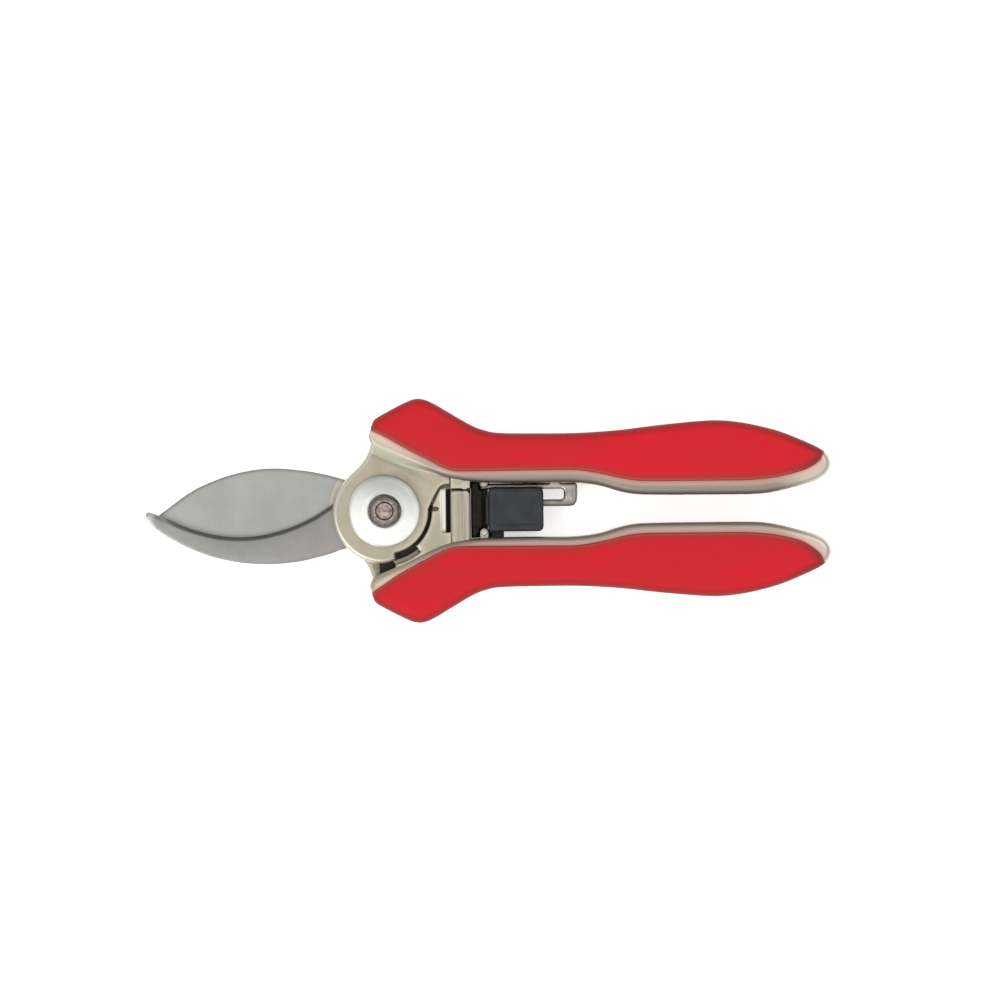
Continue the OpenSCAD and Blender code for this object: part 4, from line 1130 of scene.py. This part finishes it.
slot_of = {s["node"]: s["material_slot"] for s in frame["record"]["subparts"]}
for ob in list(bpy.data.objects):
    if ob.type != "MESH":
        continue
    if ob.name in NODES:
        s = slot_of[ob.name]
    elif ob.get("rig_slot"):
        s = ob["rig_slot"]
    else:
        continue
    ob.data.materials.clear()
    ob.data.materials.append(mats[s])

# CAD fasteners that show as they are: soften their edges without touching the mesh
for nm in ("pivot_bolt", "rear_washer", "lock_washer", "bumper_rivet", "guide_pin", "catch_pin", "pivot_bush",
           "spring_drive_pin", "hook_rivets", "blade_rivets"):
    ob = NODES[nm]
    we = ob.modifiers.new("weld", "WELD")
    we.merge_threshold = 1e-6
    bv = ob.modifiers.new("bevel", "BEVEL")
    bv.width = 0.00012
    bv.segments = 3
    bv.limit_method = "ANGLE"
    bv.angle_limit = math.radians(35)
    bv.harden_normals = False
    wn = ob.modifiers.new("wn", "WEIGHTED_NORMAL")
    wn.keep_sharp = True

# ------------------------------------------------------------------ stage
fm = Mat("floor")
fm.b.inputs["Base Color"].default_value = (0.93, 0.93, 0.925, 1)
fm.b.inputs["Roughness"].default_value = 0.85
fm.b.inputs["Specular IOR Level"].default_value = 0.1
fm.b.inputs["Emission Color"].default_value = (1, 1, 1, 1)
fm.b.inputs["Emission Strength"].default_value = 0.55
me = bpy.data.meshes.new("floor")
me.from_pydata([(-3, -3, -0.0002), (3, -3, -0.0002), (3, 3, -0.0002), (-3, 3, -0.0002)], [], [(0, 1, 2, 3)])
floor = bpy.data.objects.new("floor", me)
bpy.context.scene.collection.objects.link(floor)
me.materials.append(fm.m)

sc = bpy.context.scene
wd = bpy.data.worlds.new("studio")
sc.world = wd
wd.use_nodes = True
nt = wd.node_tree
bg = nt.nodes["Background"]
tc = nt.nodes.new("ShaderNodeTexCoord")
sp = nt.nodes.new("ShaderNodeSeparateXYZ")
nt.links.new(tc.outputs["Generated"], sp.inputs[0])
rp = nt.nodes.new("ShaderNodeValToRGB")
el = rp.color_ramp.elements
while len(el) < 4:
    el.new(0.5)
for e, (p, g) in zip(el, ((0.0, 0.42), (0.45, 0.55), (0.8, 0.95), (1.0, 1.05))):
    e.position = p
    e.color = (g, g, g, 1)
nt.links.new(sp.outputs[2], rp.inputs["Fac"])
ma = nt.nodes.new("ShaderNodeMath")
ma.operation = "MULTIPLY_ADD"
ma.inputs[1].default_value = -0.22
ma.inputs[2].default_value = 1.0
nt.links.new(sp.outputs[1], ma.inputs[0])
vm = nt.nodes.new("ShaderNodeVectorMath")
vm.operation = "SCALE"
nt.links.new(rp.outputs["Color"], vm.inputs[0])
nt.links.new(ma.outputs[0], vm.inputs["Scale"])
nt.links.new(vm.outputs[0], bg.inputs["Color"])
bg.inputs["Strength"].default_value = 1.0


def area(name, loc, target, size, energy):
    ld = bpy.data.lights.new(name, "AREA")
    ld.shape = "DISK"
    ld.size = size
    ld.energy = energy
    lo = bpy.data.objects.new(name, ld)
    sc.collection.objects.link(lo)
    lo.location = loc
    d = Vector(target) - Vector(loc)
    lo.rotation_euler = d.to_track_quat("-Z", "Y").to_euler()
    return lo


area("key", (-0.5, -0.55, 0.9), (0.02, 0, 0), 0.5, 3.2)
area("fill", (0.6, 0.5, 1.0), (0.02, 0, 0), 0.6, 1.6)

cd = bpy.data.cameras.new("camera")
cam = bpy.data.objects.new("camera", cd)
sc.collection.objects.link(cam)
cd.lens = 200
cd.sensor_width = 36
cd.clip_start = 0.01
cam.location = (0.02877, 0.002374 + 0.00014, 0.0065 + 0.25 * 200 / 36)
cam.rotation_euler = (0, 0, math.radians(-0.5))
sc.camera = cam
sc.view_settings.view_transform = "Standard"
sc.view_settings.look = "None"

bpy.context.view_layer.update()
